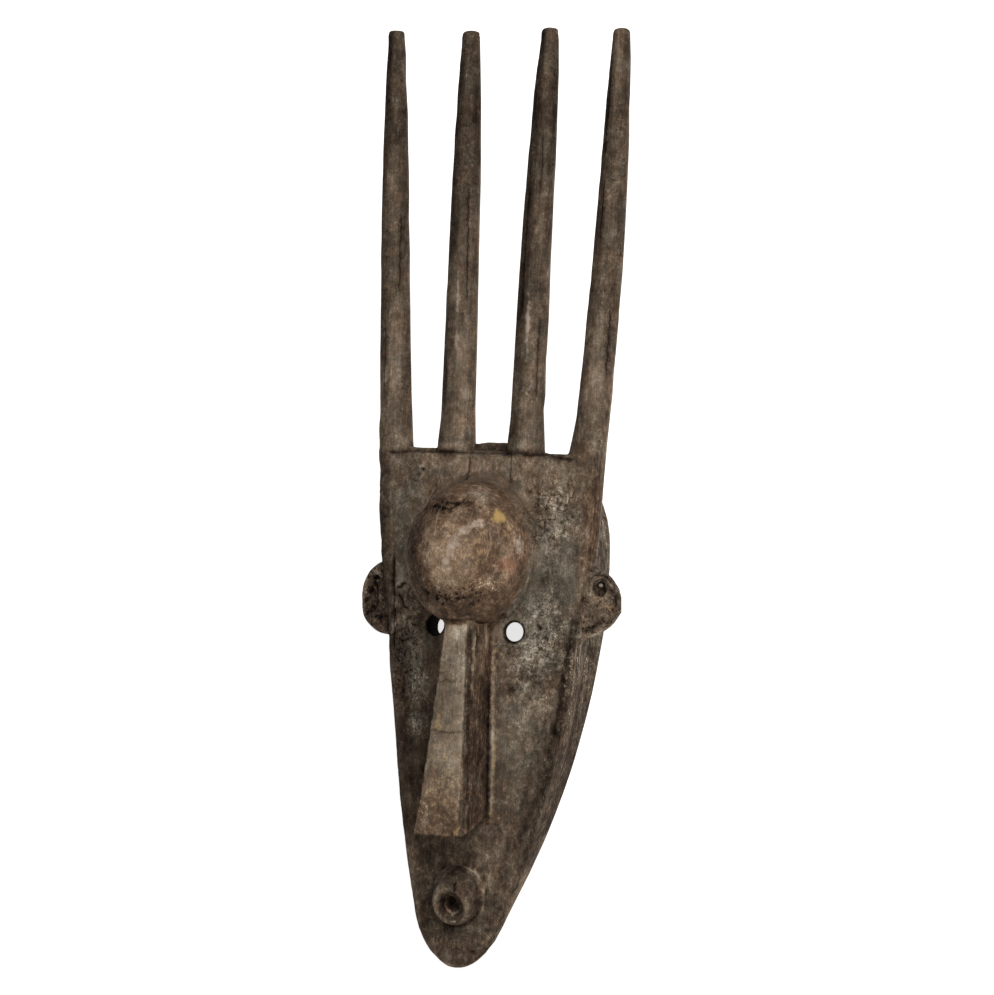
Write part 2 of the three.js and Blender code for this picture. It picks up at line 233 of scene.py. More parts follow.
# Horns: knife cuts along them, a blunt ridge down the front, square-cut tips
horns = {
    "foot": 369.0,
    # across at the root and the tip, bow, out of the face at the root and the tip, length, girth
    "lines": [
        (-78.3, -90, -1, -8.5, 12, 306.2, 0.94),
        (-28.5, -30.5, 0.5, -7.5, 9, 304.8, 1),
        (27.5, 33, -1, -7.5, 9, 305.5, 1),
        (76, 90, 2.5, -8.5, 12, 303.0, 0.97),
    ],
    "halfWidth": 12.4,
    "halfDepth": 9.2,
    "taper": (3.2, 3.3),  # what the half-width loses evenly, and more towards the tip
    "depthTaper": 0.6,  # the half-depth loses this share of that
    "roundness": 2.5,  # 2 would be an ellipse
    "ridge": 0.1,  # where the ridge runs, as a share of the half-width
    "sharpness": 0.25,
    "cutSize": (6.0, 52.0, 6.0),
    "cutDepth": 0.4,
    "thicken": [(0, 0.1), (0.5, 0.25), (0.86, 0.3), (0.93, 0.1), (1, -0.1)],
    "squareTip": (0.06, 0.13),  # how much wider just before the tip, and at it
    "rootBump": 1.6,  # beside the feet of the outer horns
    "lean": [  # each horn's own drift to the right, at its root, middle and tip
        (-0.3, -0.5, -0.3),
        (-0.6, -0.8, -0.4),
        (-0.9, -0.9, -0.2),
        (0.2, 0.8, 0.8),
    ],
}


def hornPlace(p):  # place across and out of the nearest horn, its middle, which it is and how far up
    across = np.full(len(p), 99.0)
    out, middle, depth, up = np.zeros((4, len(p)))
    which = np.zeros(len(p), int)
    even, atTip = horns["taper"]
    for k, (root, tip, bow, rootZ, tipZ, length, girth) in enumerate(horns["lines"]):
        t = np.clip((p[:, 1] - horns["foot"]) / length, 0, 1)
        loss = even * t + atTip * t**4
        x = root + (tip - root) * t + bow * 4 * t * (1 - t)
        z = rootZ + (tipZ - rootZ) * t
        u = (p[:, 0] - x) / ((horns["halfWidth"] - loss) * girth)
        v = (p[:, 2] - z) / (horns["halfDepth"] - loss * horns["depthTaper"])
        closer = np.abs(u) < np.abs(across)
        for old, new in ((across, u), (out, v), (middle, x), (depth, z), (up, t), (which, k)):
            old[closer] = new[closer] if np.ndim(new) else new
    return across, out, middle, depth, which, up


def shapeHorns(p, n):
    x, y, z = p.T
    across, out, middle, depth, which, up = hornPlace(p)
    on = step(y, horns["foot"] + 1, horns["foot"] + 14)
    u = np.clip(across, -1, 1)
    level = (1 - np.abs(u) ** horns["roundness"]) ** (1 / horns["roundness"])
    reach = np.where(u < horns["ridge"], 1 + horns["ridge"], 1 - horns["ridge"])
    roof = np.clip(1 - np.abs(u - horns["ridge"]) / reach, 0, 1) ** 0.7 * 1.05
    rise = (roof - level) * horns["sharpness"] * step(out, 0, 0.5) * on
    z += rise * (horns["halfDepth"] - 2 * up)
    thicken = follow(horns["thicken"], up) - horns["cutDepth"] * (0.55 - cuts(p, horns["cutSize"], 5))
    p += n * (on * thicken)[:, None]
    before, atTip = horns["squareTip"]
    square = 1 + before * step(up, 0.972, 0.994) + atTip * step(up, 0.993, 1)
    x[:] = np.where(up > 0.9, middle + (x - middle) * square, x)
    z[:] = np.where(up > 0.9, depth + (z - depth) * square, z)
    lean = np.stack([np.interp(up, (0, 0.5, 1), row) for row in horns["lean"]])
    x += lean[which, np.arange(len(p))] * step(y, horns["foot"] - 2, horns["foot"] + 12)
    x -= horns["rootBump"] * bell(y, 374, 9) * step(np.abs(x), 84, 88) * np.sign(x)
    return p


points = shapeHorns(points, normals)
normals = renew(points)


# Dome: trued to a drawn-out ball, on a soft flare with a shallow cut round its top
dome = {
    "centre": (0.0, 297.0, 18.0),
    "radius": 41.0,
    "above": 1.19,  # how far the ball is drawn out upwards, downwards and to the left
    "below": 1.26,
    "left": 1.12,
    # height and radius of its upper side
    "slope": [(3, 48.5), (6, 46.2), (10, 44.6), (18, 42.6), (30, 39.8), (34, 38)],
    "foot": 44.0,
    "footRounds": 40,  # how much its foot is softened
    "flare": 1.5,
    "flareAt": 46.5,
}


# distance from the dome's middle, from its axis, and the way round it; the blank's is drawn out evenly
def domePlace(p, inBlank=False):
    x, y, z = (p - dome["centre"]).T
    x = x / np.where((x < 0) & (not inBlank), dome["left"], 1)
    y = y / np.where((y < 0) & (not inBlank), dome["below"], dome["above"])
    return np.sqrt(x * x + y * y + z * z), np.hypot(x, y), np.arctan2(y, x)


def roundDome(p):
    reach, fromAxis, turn = domePlace(p, inBlank=True)
    on = (1 - step(np.abs(reach - dome["radius"]), 1.2, 2.2)) * step(p[:, 2], 12, 20)
    scale = 1 + on * (dome["radius"] + blank["regain"] - reach) / np.maximum(reach, 1)
    off = (p - dome["centre"]) * scale[:, None]
    around = (1 - step(fromAxis, 43, 54)) * step(p[:, 2], -4, 1)
    off[:, 0] *= 1 + around * (dome["left"] - 1) * (off[:, 0] < 0)
    off[:, 1] *= 1 + around * (dome["below"] / dome["above"] - 1) * (off[:, 1] < 0)
    flank = step(np.sin(turn), 0.2, 0.75) * step(p[:, 2], 3, 5) * (1 - step(p[:, 2], 30, 34))
    flank *= np.abs(fromAxis - dome["foot"]) < 8
    slope = 1 + flank * (follow(dome["slope"], p[:, 2]) / np.maximum(fromAxis, 1) - 1)
    off[:, :2] *= slope[:, None]
    p = dome["centre"] + off
    fromAxis = domePlace(p)[1]
    low = step(p[:, 2], -6, 0) * (1 - step(p[:, 2], 14, 24)) * step(p[:, 1], 262, 280)
    foot = bell(fromAxis, dome["foot"], 7) * low
    p = p + foot[:, None] * (relax(p, edges, dome["footRounds"]) - p)
    side = 0.7 + 0.5 * step(np.sin(turn + 0.5), -0.2, 0.8)  # fullest above and on the right
    p[:, 2] += dome["flare"] * side * low * bell(fromAxis, dome["flareAt"], 3.6)
    return p


points = roundDome(points)
normals = renew(points)


# Nose: the corner on its right is pared off in a narrow strip; the edges are rubbed soft
nose = {
    # height on the face, and the corner's place across and out of it
    "corner": [
        (95, 16.0, 35.7), (126, 14.9, 35.0), (154, 14.2, 34.5), (196, 12.6, 33.4), (232, 10.4, 32.6),
        (252, 9.6, 32),
    ],
    "swell": 2.3,
    "pared": 3.0,
    "spread": [(93, -1.6), (106, -0.8), (122, 0), (260, 0)],  # the lower left corner splays
    "rounds": 3,  # how much its edges are softened
}


def pareNose(p, n):
    x, y, z = p.T
    heights, acrosses, outs = zip(*nose["corner"])
    within = (np.abs(x) < 24) & (y > 92) & (y < 250) & (z > 2)
    x += nose["swell"] * step(n[:, 0], 0.4, 0.8) * step(z, 3, 16) * within
    x += follow(nose["spread"], y) * (x < 0) * within * step(z, 6, 24)
    over = x - np.interp(y, heights, acrosses) - nose["swell"]
    over += z - np.interp(y, heights, outs) + nose["pared"]
    over = np.clip(over, 0, None) * within * 0.5
    x -= over
    z -= over
    edge = within * (z > 24)
    return p + edge[:, None] * (relax(p, edges, nose["rounds"]) - p)


points = pareNose(points, normals)
normals = renew(points)
print("forms: horns, dome, nose")


# Marks: worn valleys, cracks, scratches and dents, each at its place on the face, in mm
lines = [  # points, half-width, depth (below nought it stands up), darkness (below nought it is paler)
    # the stop cut across the feet of the horns, darkened with painted shadow under the feet
    ([(-82, 370.5), (-73, 369.2), (-64, 371), (-57, 371.8), (-44, 371), (-30, 370.4), (-16, 370.2),
      (0, 370.4), (19, 370.2)], 1.5, 1.2, 0.5),
    ([(10, 370.4), (19, 370.2), (28, 370.6), (36, 369)], 2.2, 1.3, 0.6),
    ([(30, 369.6), (42, 369.6), (54, 368.4), (64, 367), (70, 366.4)], 1.8, 1.2, 0.6),
    ([(-80, 370.5), (-72, 368.8), (-64, 370.8)], 2.4, 0.8, 0.6),
    ([(-40, 371), (-32, 370), (-22, 370.6)], 2.2, 0.6, 0.5),
    ([(44, 369.4), (52, 368), (60, 367.6)], 2.6, 0.6, 0.5),
    # the worn valley beside the right cheek, darkened with painted shade, and the slot at its edge
    ([(73, 258), (71.8, 243), (69.4, 226), (67.8, 208), (67.6, 193), (65.6, 180),
      (63.8, 168)], 2.6, 1.6, 1.0),
    ([(65.6, 180), (63.8, 168), (61.3, 154), (58.9, 142), (56.6, 130), (53, 118)], 2.6, 1.1, 0.6),
    ([(59.8, 154), (57.4, 142), (54, 126), (47, 104), (40, 88)], 2.8, 0.9, 0.35),
    ([(71.6, 244), (70.6, 236), (69.6, 228)], 1.5, 1.0, 0.9),
    # the cut along the foot of the nose, darkened with painted shade, and the cheek's crisp lip beside it,
    # paled with a painted highlight
    ([(10.6, 243), (12, 226), (13.8, 196), (16.2, 152), (18, 118)], 1.8, 0.8, 0.5),
    ([(14.2, 240), (15.5, 226), (16.6, 208), (18.5, 180), (20.2, 152), (21.7, 126),
      (22.4, 112)], 1.5, -0.7, -2.4),
    # knife stops across the nose
    ([(-14, 170.5), (-6, 169.4), (2, 168.4), (9, 169.6), (13.5, 172)], 0.8, 0.35, 0.4),
    ([(-12, 206), (-8, 204), (-4, 206.5), (0, 204.5), (5, 206)], 0.8, 0.25, 0.45),
    ([(-13, 211.5), (-7, 210.5), (-2, 212)], 0.7, 0.2, 0.35),
    ([(-9, 137), (-2, 135.5), (4, 137.5), (9, 135)], 0.7, 0.25, 0.35),
    ([(4, 196.5), (9, 197.5), (13, 200)], 1.0, 0.35, 0.3),
    # the shallow cut above the dome's flare, darkened with painted shade
    ([(-30, 344), (-18.2, 350.3), (-12.6, 353.4), (-0.2, 355.4), (16, 353), (28, 346)], 2.0, 0.4, 0.3),
    # board: checks in the timber
    ([(-13.2, 370), (-12.6, 362), (-13.4, 353), (-14.4, 347)], 0.9, 0.6, 0.8),
    ([(5.2, 370), (6.2, 360), (7.2, 351)], 0.8, 0.3, 0.25),
    ([(19.6, 370), (20.6, 357), (21.6, 345)], 0.8, 0.4, 0.4),
    ([(48, 345), (53, 341), (60, 342), (64, 338)], 0.8, 0.3, 0.5),
    ([(56, 334), (61, 330), (68, 332)], 0.8, 0.3, 0.5),
    ([(39, 347), (43.5, 341), (43, 334), (47, 329)], 0.9, 0.3, 0.5),
    ([(50, 318), (56, 313), (57, 306)], 0.8, 0.25, 0.4),
    ([(-62, 352), (-57, 349), (-50, 350)], 0.8, 0.3, 0.4),
    # broken left edge of the face
    ([(-73.5, 296), (-72.6, 276), (-71.4, 264), (-70.6, 252), (-69.8, 240), (-68.4, 226)], 1.5, 1.5, 0.9),
    ([(-70.8, 273.9), (-68.4, 272.4), (-66.2, 273.2), (-63.5, 275.2), (-60.5, 275)], 1.5, 1.5, 1.1),
    ([(-69.8, 270.3), (-66.4, 266), (-64.4, 263.1), (-62.5, 258.9), (-60, 257.4),
      (-56.5, 259)], 1.2, 1.1, 0.9),
    ([(-64.5, 234.4), (-61, 233.4), (-57.5, 234.8)], 1.0, 0.7, 0.8),
    ([(-59, 246), (-56.5, 243), (-55.5, 239)], 0.8, 0.5, 0.6),
    # lip, the worn crest of the ring round it, and the pits beside the last horn's foot
    ([(5.2, 65.5), (6.2, 62.5), (7, 60), (6.6, 56.6)], 1.1, 1.3, 1.3),
    ([(5.9, 76.3), (11.8, 73.9), (16.6, 70.4), (21.3, 62.7), (22.4, 54.6), (20.2, 47.4),
      (18.3, 42.3)], 0.8, -0.3, -2.2),
    ([(91, 412), (92.6, 406), (91.2, 400), (92.4, 394)], 1.1, 0.8, 0.7),
    # checks along the horns
    ([(86, 652), (85, 630), (84.2, 605), (83.6, 582)], 1.3, 0.5, 1.0),
    ([(84.4, 566), (83.6, 545), (82.8, 520)], 1.0, 0.3, 0.8),
    ([(91.6, 474), (91, 452), (89.8, 426)], 1.4, 0.4, 0.9),
    ([(-78.6, 542), (-78, 512), (-77.2, 484)], 1.3, 0.3, 0.8),
    ([(-87.4, 470), (-86.4, 440), (-85.6, 414)], 1.1, 0.3, 0.7),
    ([(-24.4, 560), (-23.2, 520), (-22.2, 478)], 1.2, 0.3, 0.8),
    ([(-37, 440), (-36.4, 420), (-36.6, 400)], 1.1, 0.3, 0.7),
    ([(24.8, 560), (23.4, 520), (22.4, 470)], 1.2, 0.3, 0.8),
    ([(36.2, 470), (36.4, 440), (36.2, 410)], 1.1, 0.3, 0.8),
    ([(33.6, 600), (34, 580), (33.6, 556)], 0.9, 0.2, 0.6),
    # dome: the break at its upper left
    ([(-15, 329), (-8, 326.5), (0, 324.8), (4.5, 328.5), (7.5, 332), (8.4, 336)], 1.1, 0.7, 0.8),
    ([(-8, 329.4), (1.5, 329.6), (7, 331.6)], 0.9, 0.5, 0.7),
    ([(10.9, 327), (13.5, 330.5), (15, 334)], 0.8, 0.5, 0.6),
    # right ear: the lid over its pit, the groove inside its rim, the deep crease and the lip under it
    ([(82.4, 282), (85, 286), (90, 286.6), (95.5, 284.4), (98, 281)], 1.2, 1.0, 0.6),
    ([(97, 286), (100.6, 279.5), (102.2, 270.5), (101.4, 262)], 1.1, 0.6, 0.6),
    ([(76.5, 245.6), (81, 246.4), (85.6, 248.6), (92.7, 253.3), (97, 258)], 2.1, 2.0, 0.9),
    ([(77.9, 241.8), (87.2, 244.6), (93.1, 248.8)], 1.2, -0.5, -0.35),
    ([(83, 262), (84.5, 256), (88, 252)], 1.3, 0.5, 0.3),
]

dents = [  # x, y, z, half-width, half-height, depth, darkness
    # the dome's upper left
    (-12, 326.5, 48, 3, 1.8, 0.5, 0.9), (-7, 325.5, 50, 3.4, 1.9, 0.6, 1.0),
    (0.5, 323.5, 54, 3.4, 1.7, 0.6, 1.0), (14, 325.5, 51, 2.6, 1.8, 0.5, 0.9),
    (20, 327.7, 46, 1.8, 1.4, 0.4, 0.7), (3.5, 329.6, 50, 3.4, 2, 0.7, 0.9),
    (10, 330.6, 48, 3, 2, 0.6, 0.9), (9, 322, 55, 1.6, 1.2, 0.4, 0.7), (-4, 321.8, 54, 1.8, 1.2, 0.4, 0.7),
    # the dome, low down
    (-15, 266, 46, 3.4, 2, 0.8, 1.0), (-8.3, 262.7, 45.6, 3.2, 1.7, 0.8, 1.1),
    (0.4, 262.6, 47, 3.6, 1.5, 0.8, 1.1), (11.4, 263.4, 45.4, 4, 1.5, 0.8, 1.1),
    (15.8, 264.4, 43.4, 2.6, 1.4, 0.6, 0.9), (14, 269.8, 48.6, 2.2, 1.6, 0.5, 0.9),
    (-20, 272, 46, 2.6, 2, 0.5, 0.6), (6, 268, 49, 2.4, 1.5, 0.4, 0.6), (22, 268, 42, 2.4, 1.5, 0.4, 0.6),
    # the board
    (39.6, 308, 22, 1.8, 1.6, 0.5, 0.7), (40.5, 302.6, 22, 1.5, 1.4, 0.5, 1.0),
    (37, 296, 26, 1.6, 1.6, 0.4, 0.6), (-51.5, 357.5, 1, 2.4, 2.0, 1.0, 0.9),
    (-54, 354, 1, 1.6, 2.4, 0.5, 0.7), (62, 322, 0, 2.2, 2, 0.7, 0.7), (70, 327, 0, 2.6, 1.6, 0.7, 0.6),
    (61.3, 335, 0, 2.4, 2, 0.6, 0.8), (36.6, 343, 1, 2, 1.6, 0.4, 0.7),
    (52.6, 323.5, 0, 1.8, 1.6, 0.4, 0.7), (45, 338, 1, 3.5, 2, 0.4, 0.4), (50.5, 330, 1, 2, 4, 0.4, 0.4),
    # the cheeks
    (-69.5, 262, -6, 2.4, 5, 0.9, 0.2), (-69, 246, -6, 2.4, 6, 0.9, 0.0),
    (-60, 243, -3, 2.0, 2.0, 0.7, 0.7), (-56, 235, -3, 2.0, 1.6, 0.7, 0.8),
    (-58, 250, -3, 1.6, 2.2, 0.6, 0.6), (-50, 228, -3, 1.8, 1.6, 0.5, 0.7),
    (50, 247, -2.6, 2.6, 2.2, 0.5, 0.9), (39.5, 218, -1, 2.4, 1.8, 0.5, 0.9),
    (31.6, 202, 0, 4, 3, 0.4, 0.6), (36, 205, 0, 3.4, 4, 0.3, 0.5), (50, 231.5, -3, 2.2, 1.8, 0.4, 0.7),
    (45, 196, -2, 2, 2, 0.3, 0.5),
    # the chin
    (24, 32.2, 0, 4, 2.2, 0.7, 0.5), (14, 16, 0, 4, 2, 0.7, 0.6), (33, 47, -3, 2.6, 2.2, 0.7, 0.5),
    # the nose's tip
    (-18, 95, 37, 3, 2.4, 0.8, 0.2), (15, 95, 37, 3.4, 2.4, 0.9, 0.0), (1, 94, 38, 4, 2, 0.7, 0.5),
    (-6, 96, 37, 2.4, 1.8, 0.6, 0.4), (10, 98, 36.5, 2, 1.5, 0.5, 0.3),
    # the lip
    (-6.5, 45, 14, 3.5, 2.5, 1.0, 0.3), (5, 43, 12, 3, 2.5, 1.2, 0.3),
    # the board's edges
    (-87, 305, -4, 3, 6, 0.8, 0.3), (-87, 340, -4, 3, 9, 0.6, 0.3), (86, 346, -4, 3, 6, 0.7, 0.3),
    (84, 300, -6, 3, 7, 0.7, 0.3), (80, 268, -8, 3, 6, 0.7, 0.3),
    # the left ear
    (-89, 279, -11, 4.6, 1.8, 2.0, 1.1),
    (-94.5, 271, -14, 2.4, 3, 1.6, 1.1), (-88.7, 272, -13, 2.2, 2.4, 1.4, 1.1),
    (-97.2, 262.5, -13, 1.8, 3, 1.2, 1.0), (-91.5, 275, -13, 1.8, 1.8, 1.0, 1.0),
    (-85, 250.3, -11, 4.6, 1.8, 1.2, 1.1), (-92, 258, -15, 3, 2, 0.6, 0.8),
    (-86, 262, -14, 2, 4, 0.6, 0.6),
    # the horns
    (-84.8, 452.4, 3.8, 1.2, 1.6, 0.5, 1.1), (-34.9, 458.3, 2.2, 1.2, 1.4, 0.5, 1.1),
    (-24, 470, 5, 1, 1, 0.3, 0.6),
    (-81, 520, 6, 1.6, 3, 0.3, 0.5), (36, 600, 8, 1.2, 2, 0.2, 0.4), (30.6, 536, 7, 1.5, 5, 0.3, 0.8),
    (-84, 556, 6, 2.5, 2, 0.2, 0.6), (-86, 500, 6, 1.4, 6, 0.2, 0.5), (-33, 520, 6, 1.6, 8, 0.2, 0.5),
    (26, 420, 4, 2, 5, 0.2, 0.5),
]

ragged = {
    "stray": (0.7, 0.35, 0.5),  # how far a line wanders sideways, finely sideways and upwards
    "fade": 6.0,  # how long its ends are
    "dent": (0.4, 0.5),  # how uneven a dent's edge and floor are
}


def alongLine(p, line, facing, reach=8):  # points near a line, how far to which side, and a fade at its ends
    line = np.array(line, float)
    low, high = line.min(0) - reach, line.max(0) + reach
    within = (p[:, 0] > low[0]) & (p[:, 0] < high[0]) & (p[:, 1] > low[1]) & (p[:, 1] < high[1])
    near = np.where(within & facing)[0]
    q = p[near, :2].copy()
    sideways, finely, upwards = ragged["stray"]
    q[:, 0] += sideways * lumps(p[near], (5, 5, 9), 3) + finely * lumps(p[near], (1.8, 1.8, 9), 4, 1)
    q[:, 1] += upwards * lumps(p[near], (5, 5, 9), 6)
    best = np.full(len(near), 99.0)
    side = np.ones(len(near))
    at = np.zeros(len(near))
    start = 0.0
    for a, b in zip(line[:-1], line[1:]):
        length = math.dist(a, b)
        d = (b - a) / length
        t = np.clip((q - a) @ d, 0, length)
        off = q - a - t[:, None] * d
        far = np.hypot(off[:, 0], off[:, 1])
        closer = far < best
        best = np.where(closer, far, best)
        side = np.where(closer, np.sign(d[0] * off[:, 1] - d[1] * off[:, 0]), side)
        at = np.where(closer, start + t, at)
        start += length
    ends = np.minimum(at, start - at) / min(ragged["fade"], start / 3)
    return near, best * side, np.clip(ends + 0.2, 0, 1)


def inDent(p, dent):  # the points in a dent, and how far down it they are, from 0 to 1
    x, y, z, wide, high = dent[:5]
    d = np.sqrt((((p - (x, y, z)) / (wide, high, max(wide, high) + 3)) ** 2).sum(1))
    near = np.where(d < 1.6)[0]
    edge, floor = ragged["dent"]
    d = d[near] + edge * lumps(p[near], (2.4, 2.4, 2.4), 11)
    return near, (1 - step(d, 0.3, 1.05)) * (0.8 + floor * lumps(p[near], (1.8, 1.8, 1.8), 12))


def cutMarks(p, n):
    facing = n[:, 2] > 0.2
    depth, rise = np.zeros((2, len(p)))
    for line, width, deep, _ in lines:
        near, away, fade = alongLine(p, line, facing)
        amount = deep * fade * bell(away, 0, width)
        depth[near] = np.maximum(depth[near], amount)
        rise[near] = np.minimum(rise[near], amount)
    for dent in dents:
        near, share = inDent(p, dent)
        depth[near] += dent[5] * share
    return p - n * (depth + rise)[:, None]


points = cutMarks(points, normals)


# Mouth: a raised ring round the foot of the tube, and an uneven lip round its bore
mouth = {
    "x": 1.5,
    "y": 53.0,
    "stretch": 1.1,
    "ring": 20.0,
    "ringHeight": 0.9,
    "grooveDepth": 0.4,  # just inside the ring
    "droop": math.radians(24),
    "lip": 12.2,
    "lipHeight": 1.1,
    "lipLumps": (0.55, 0.3),
    "dish": (6, 10.5),  # from the tube's axis: the hollow round the bore is whole, and ends
    "dishDepth": 1.5,
    "boreWider": 1.3,
    "boreMove": (-1.7, -1.8),  # the bore sits a little to the left and low
}


def ringPlace(p):  # how far from the middle of the mouth's ring
    return np.hypot(p[:, 0] - mouth["x"], (p[:, 1] - mouth["y"]) / mouth["stretch"])


def tubePlace(p):  # how far along the mouth's tube, and from its axis
    x, y, z = (p - (mouth["x"], mouth["y"], 0)).T
    c, s = math.cos(mouth["droop"]), math.sin(mouth["droop"])
    return z * c - y * s, np.hypot(x, (y * c + z * s) / mouth["stretch"])


def rimMouth(p, n):
    x, y, z = p.T
    r = ringPlace(p)
    low = (z < 9) & (z > -8) & facesOut(n)
    ring = mouth["ringHeight"] * bell(r, mouth["ring"], 1.1)
    z += (ring - mouth["grooveDepth"] * bell(r, mouth["ring"] - 2.8, 1.6)) * low
    coarse, fine = mouth["lipLumps"]
    z += (z > 9) * (r < 19) * (coarse * lumps(p, (6, 6, 30), 21) + fine * lumps(p, (2.4, 2.4, 30), 22))
    along, fromTube = tubePlace(p)
    rise = mouth["lipHeight"] * bell(fromTube, mouth["lip"], 1.5)
    rise -= mouth["dishDepth"] * (1 - step(fromTube, *mouth["dish"]))
    z += rise * step(along, 8, 10) * (n[:, 2] > 0.3)
    near = (1 - step(fromTube, 6, 10.5)) * step(along, -10, 0)
    wider = near * mouth["boreWider"] * bell(fromTube, 4, 2.5) / np.maximum(fromTube, 2)
    right, up = mouth["boreMove"]
    x += wider * (x - mouth["x"]) + right * near
    y += wider * (y - mouth["y"]) * near + up * near
    return p


points = rimMouth(points, normals)


# Right ear: the pit's floor stands up in its middle
boss = {"place": (89.9, 279.2), "width": 1.7, "height": 1.8, "floor": 2.2, "depth": (-22, -12.5)}


def raiseBoss(p):
    x, y, z = p.T
    d = np.hypot(x - boss["place"][0], y - boss["place"][1])
    low, high = boss["depth"]
    rise = boss["height"] * bell(d, 0, boss["width"]) + boss["floor"] * (1 - step(d, 4, 7))
    z += rise * (z > low) * (z < high)
    return p


points = raiseBoss(points)
normals = renew(points)
print("marks cut:", len(lines), "lines,", len(dents), "dents")


# Eye holes: trued to a worn funnel in front and, on the right, opened out again from behind
eyes = {
    "slant": math.tan(math.radians(10)),  # both run towards the middle of the face as they go in
    "around": 7.0,  # the wood this far round a hole moves with it
    # middle, height of the face there, the blank's bore, rise per mm, then its radius at each depth
    "holes": [
        {
            "x": -33.1, "y": 245.9, "face": 0.2, "bore": 7.2, "rise": 0.0,
            "radii": [(-1, 8.1), (0, 7.2), (1.2, 6.7), (12, 6.6), (16, 8)],
        },
        {
            "x": 30.2, "y": 243.0, "face": 0.6, "bore": 7.4, "rise": 0.14,
            "radii": [(-1, 9.0), (0, 8.2), (1.5, 7.2), (3, 6.7), (5, 7.5), (10, 11), (16, 13)],
        },
    ],
}


def boreEyes(p, n):
    x, y, z = p.T
    for eye in eyes["holes"]:
        depth = eye["face"] - z
        middle = eye["x"] - np.sign(eye["x"]) * eyes["slant"] * depth
        u, v = x - middle, y - eye["y"]
        r = np.maximum(np.hypot(u, v), 1)
        level = step(depth, -3, -1) * (1 - step(depth, 13, 17))
        towards = -(n[:, 0] * u + n[:, 1] * v) / r
        wall = (towards > 0.6) & (r < eye["bore"] + 2.5) & (level > 0)
        marksAt = np.arange(0, 11, 2)
        found = [np.median(r[wall & (np.abs(depth - at) < 1)]) for at in marksAt]
        now = np.interp(depth, marksAt, found)
        wanted = follow(eye["radii"], depth)
        share = np.clip((eye["bore"] + eyes["around"] - r) / eyes["around"], 0, 1) * level
        reach = r + share * (wanted - now)
        reach += step(towards, 0.4, 0.8) * wall * (wanted - reach)
        rise = eye["rise"] * np.clip(depth, 0, 4) * share
        x[:] = np.where(share > 0, middle + u * reach / r, x)
        y[:] = np.where(share > 0, eye["y"] + v * reach / r + rise, y)
    return p


# The left wall's edge is worn thin and spread outwards beside the eye
spread = {"y": 247, "out": 3.6, "thinner": 3.8}


def spreadWall(p):
    x, y, z = p.T
    along = 1 - step(np.abs(y - spread["y"]), 14, 52)
    deep = step(-z, 22, 60) * step(-x, 38, 52)
    x -= along * deep * (spread["out"] + spread["thinner"] * step(x, -67, -61))
    return p


points = spreadWall(boreEyes(points, normals))
normals = renew(points)
print("eye holes bored")


# Hand work over everything: slow unevenness in front, gouge marks in the hollow
handWork = {
    "swell": 0.55,
    "ripple": 0.3,
    "crust": 0.16,
    "hollowCut": (11.0, 26.0, 11.0),
    "hollowDepth": 1.3,
    "backCut": (16.0, 34.0, 16.0),
    "backDepth": 0.7,
}


def aboveRim(p):
    return p[:, 2] + 15 + p[:, 1] * math.tan(rest["tilt"])


def insideHollow(p, n):
    x, y, z = p.T
    within = (np.abs(x) < 64) & (y > 22) & (y < 362) & (z < -6) & (aboveRim(p) > 0.8)
    return within & (n[:, 2] < 0.25) & (-n[:, 0] * np.sign(x) > -0.3)


def nearEyes(p):
    near = np.zeros(len(p))
    for eye in eyes["holes"]:
        r = np.hypot(p[:, 0] - eye["x"], p[:, 1] - eye["y"])
        near = np.maximum(near, (1 - step(r, eye["bore"] + 1, eye["bore"] + 5)) * (np.abs(p[:, 2] + 7) < 12))
    return near


def workSurface(p, n):
    inside = relax(insideHollow(p, n).astype(float), edges, 6)
    back = step(-n[:, 2], 0.4, 0.8) * (1 - inside) * (p[:, 2] > -40)
    onHorns = step(p[:, 1], horns["foot"], horns["foot"] + 20)
    move = handWork["swell"] * lumps(p, (30, 60, 30), 31) * (1 - 0.6 * onHorns)
    move += handWork["ripple"] * lumps(p, (8, 15, 8), 33, 2)
    move += handWork["crust"] * lumps(p, (3, 4.5, 3), 37, 2) * (1 - 0.7 * onHorns)
    move *= 1 - inside
    move -= inside * handWork["hollowDepth"] * (0.6 - cuts(p, handWork["hollowCut"], 41))
    move -= back * handWork["backDepth"] * (0.6 - cuts(p, handWork["backCut"], 43))
    onRim = 1 - step(np.abs(aboveRim(p)), 0.2, 2.5)
    return p + n * (move * (1 - onRim) * (1 - nearEyes(p)))[:, None], inside


points, inHollow = workSurface(points, normals)
normals = renew(points)
print("surface worked")


# Lighter mesh: close points where the face shows its marks, wider ones behind
def lighten(obj, keepFine):
    group = obj.vertex_groups.new(name="thin")
    weights = np.round(1 - np.clip(keepFine, 0, 1), 1)
    for weight in np.unique(weights):
        group.add(np.where(weights == weight)[0].tolist(), float(weight), "REPLACE")
    decimate = obj.modifiers.new("lighter", "DECIMATE")
    decimate.vertex_group = "thin"
    decimate.vertex_group_factor = 1.0
    decimate.ratio = min(1.0, blank["tris"] / (2 * len(obj.data.polygons)))
    bpy.ops.object.modifier_apply(modifier="lighter")
    obj.vertex_groups.clear()
    obj.data.shade_smooth()
    obj.data.calc_loop_triangles()
    print("mesh:", len(obj.data.loop_triangles), "triangles")


lighten(mask, np.where(nearEyes(points) > 0.1, 1.0, np.where(facesOut(normals) & (inHollow < 0.5), 0.7, 0.0)))


# Finish: how worn, dirty, stained or rough each point is, and where light and shade are painted on, kept on
# the mesh for the wood to read
points = readPoints(mask)
edges = readEdges(mask)
normals = readNormals(mask)
facing = facesOut(normals)
x, y, z = points.T
reach, fromAxis, turn = domePlace(points)
across, _, _, _, which, upHorn = hornPlace(points)
along, fromTube = tubePlace(points)

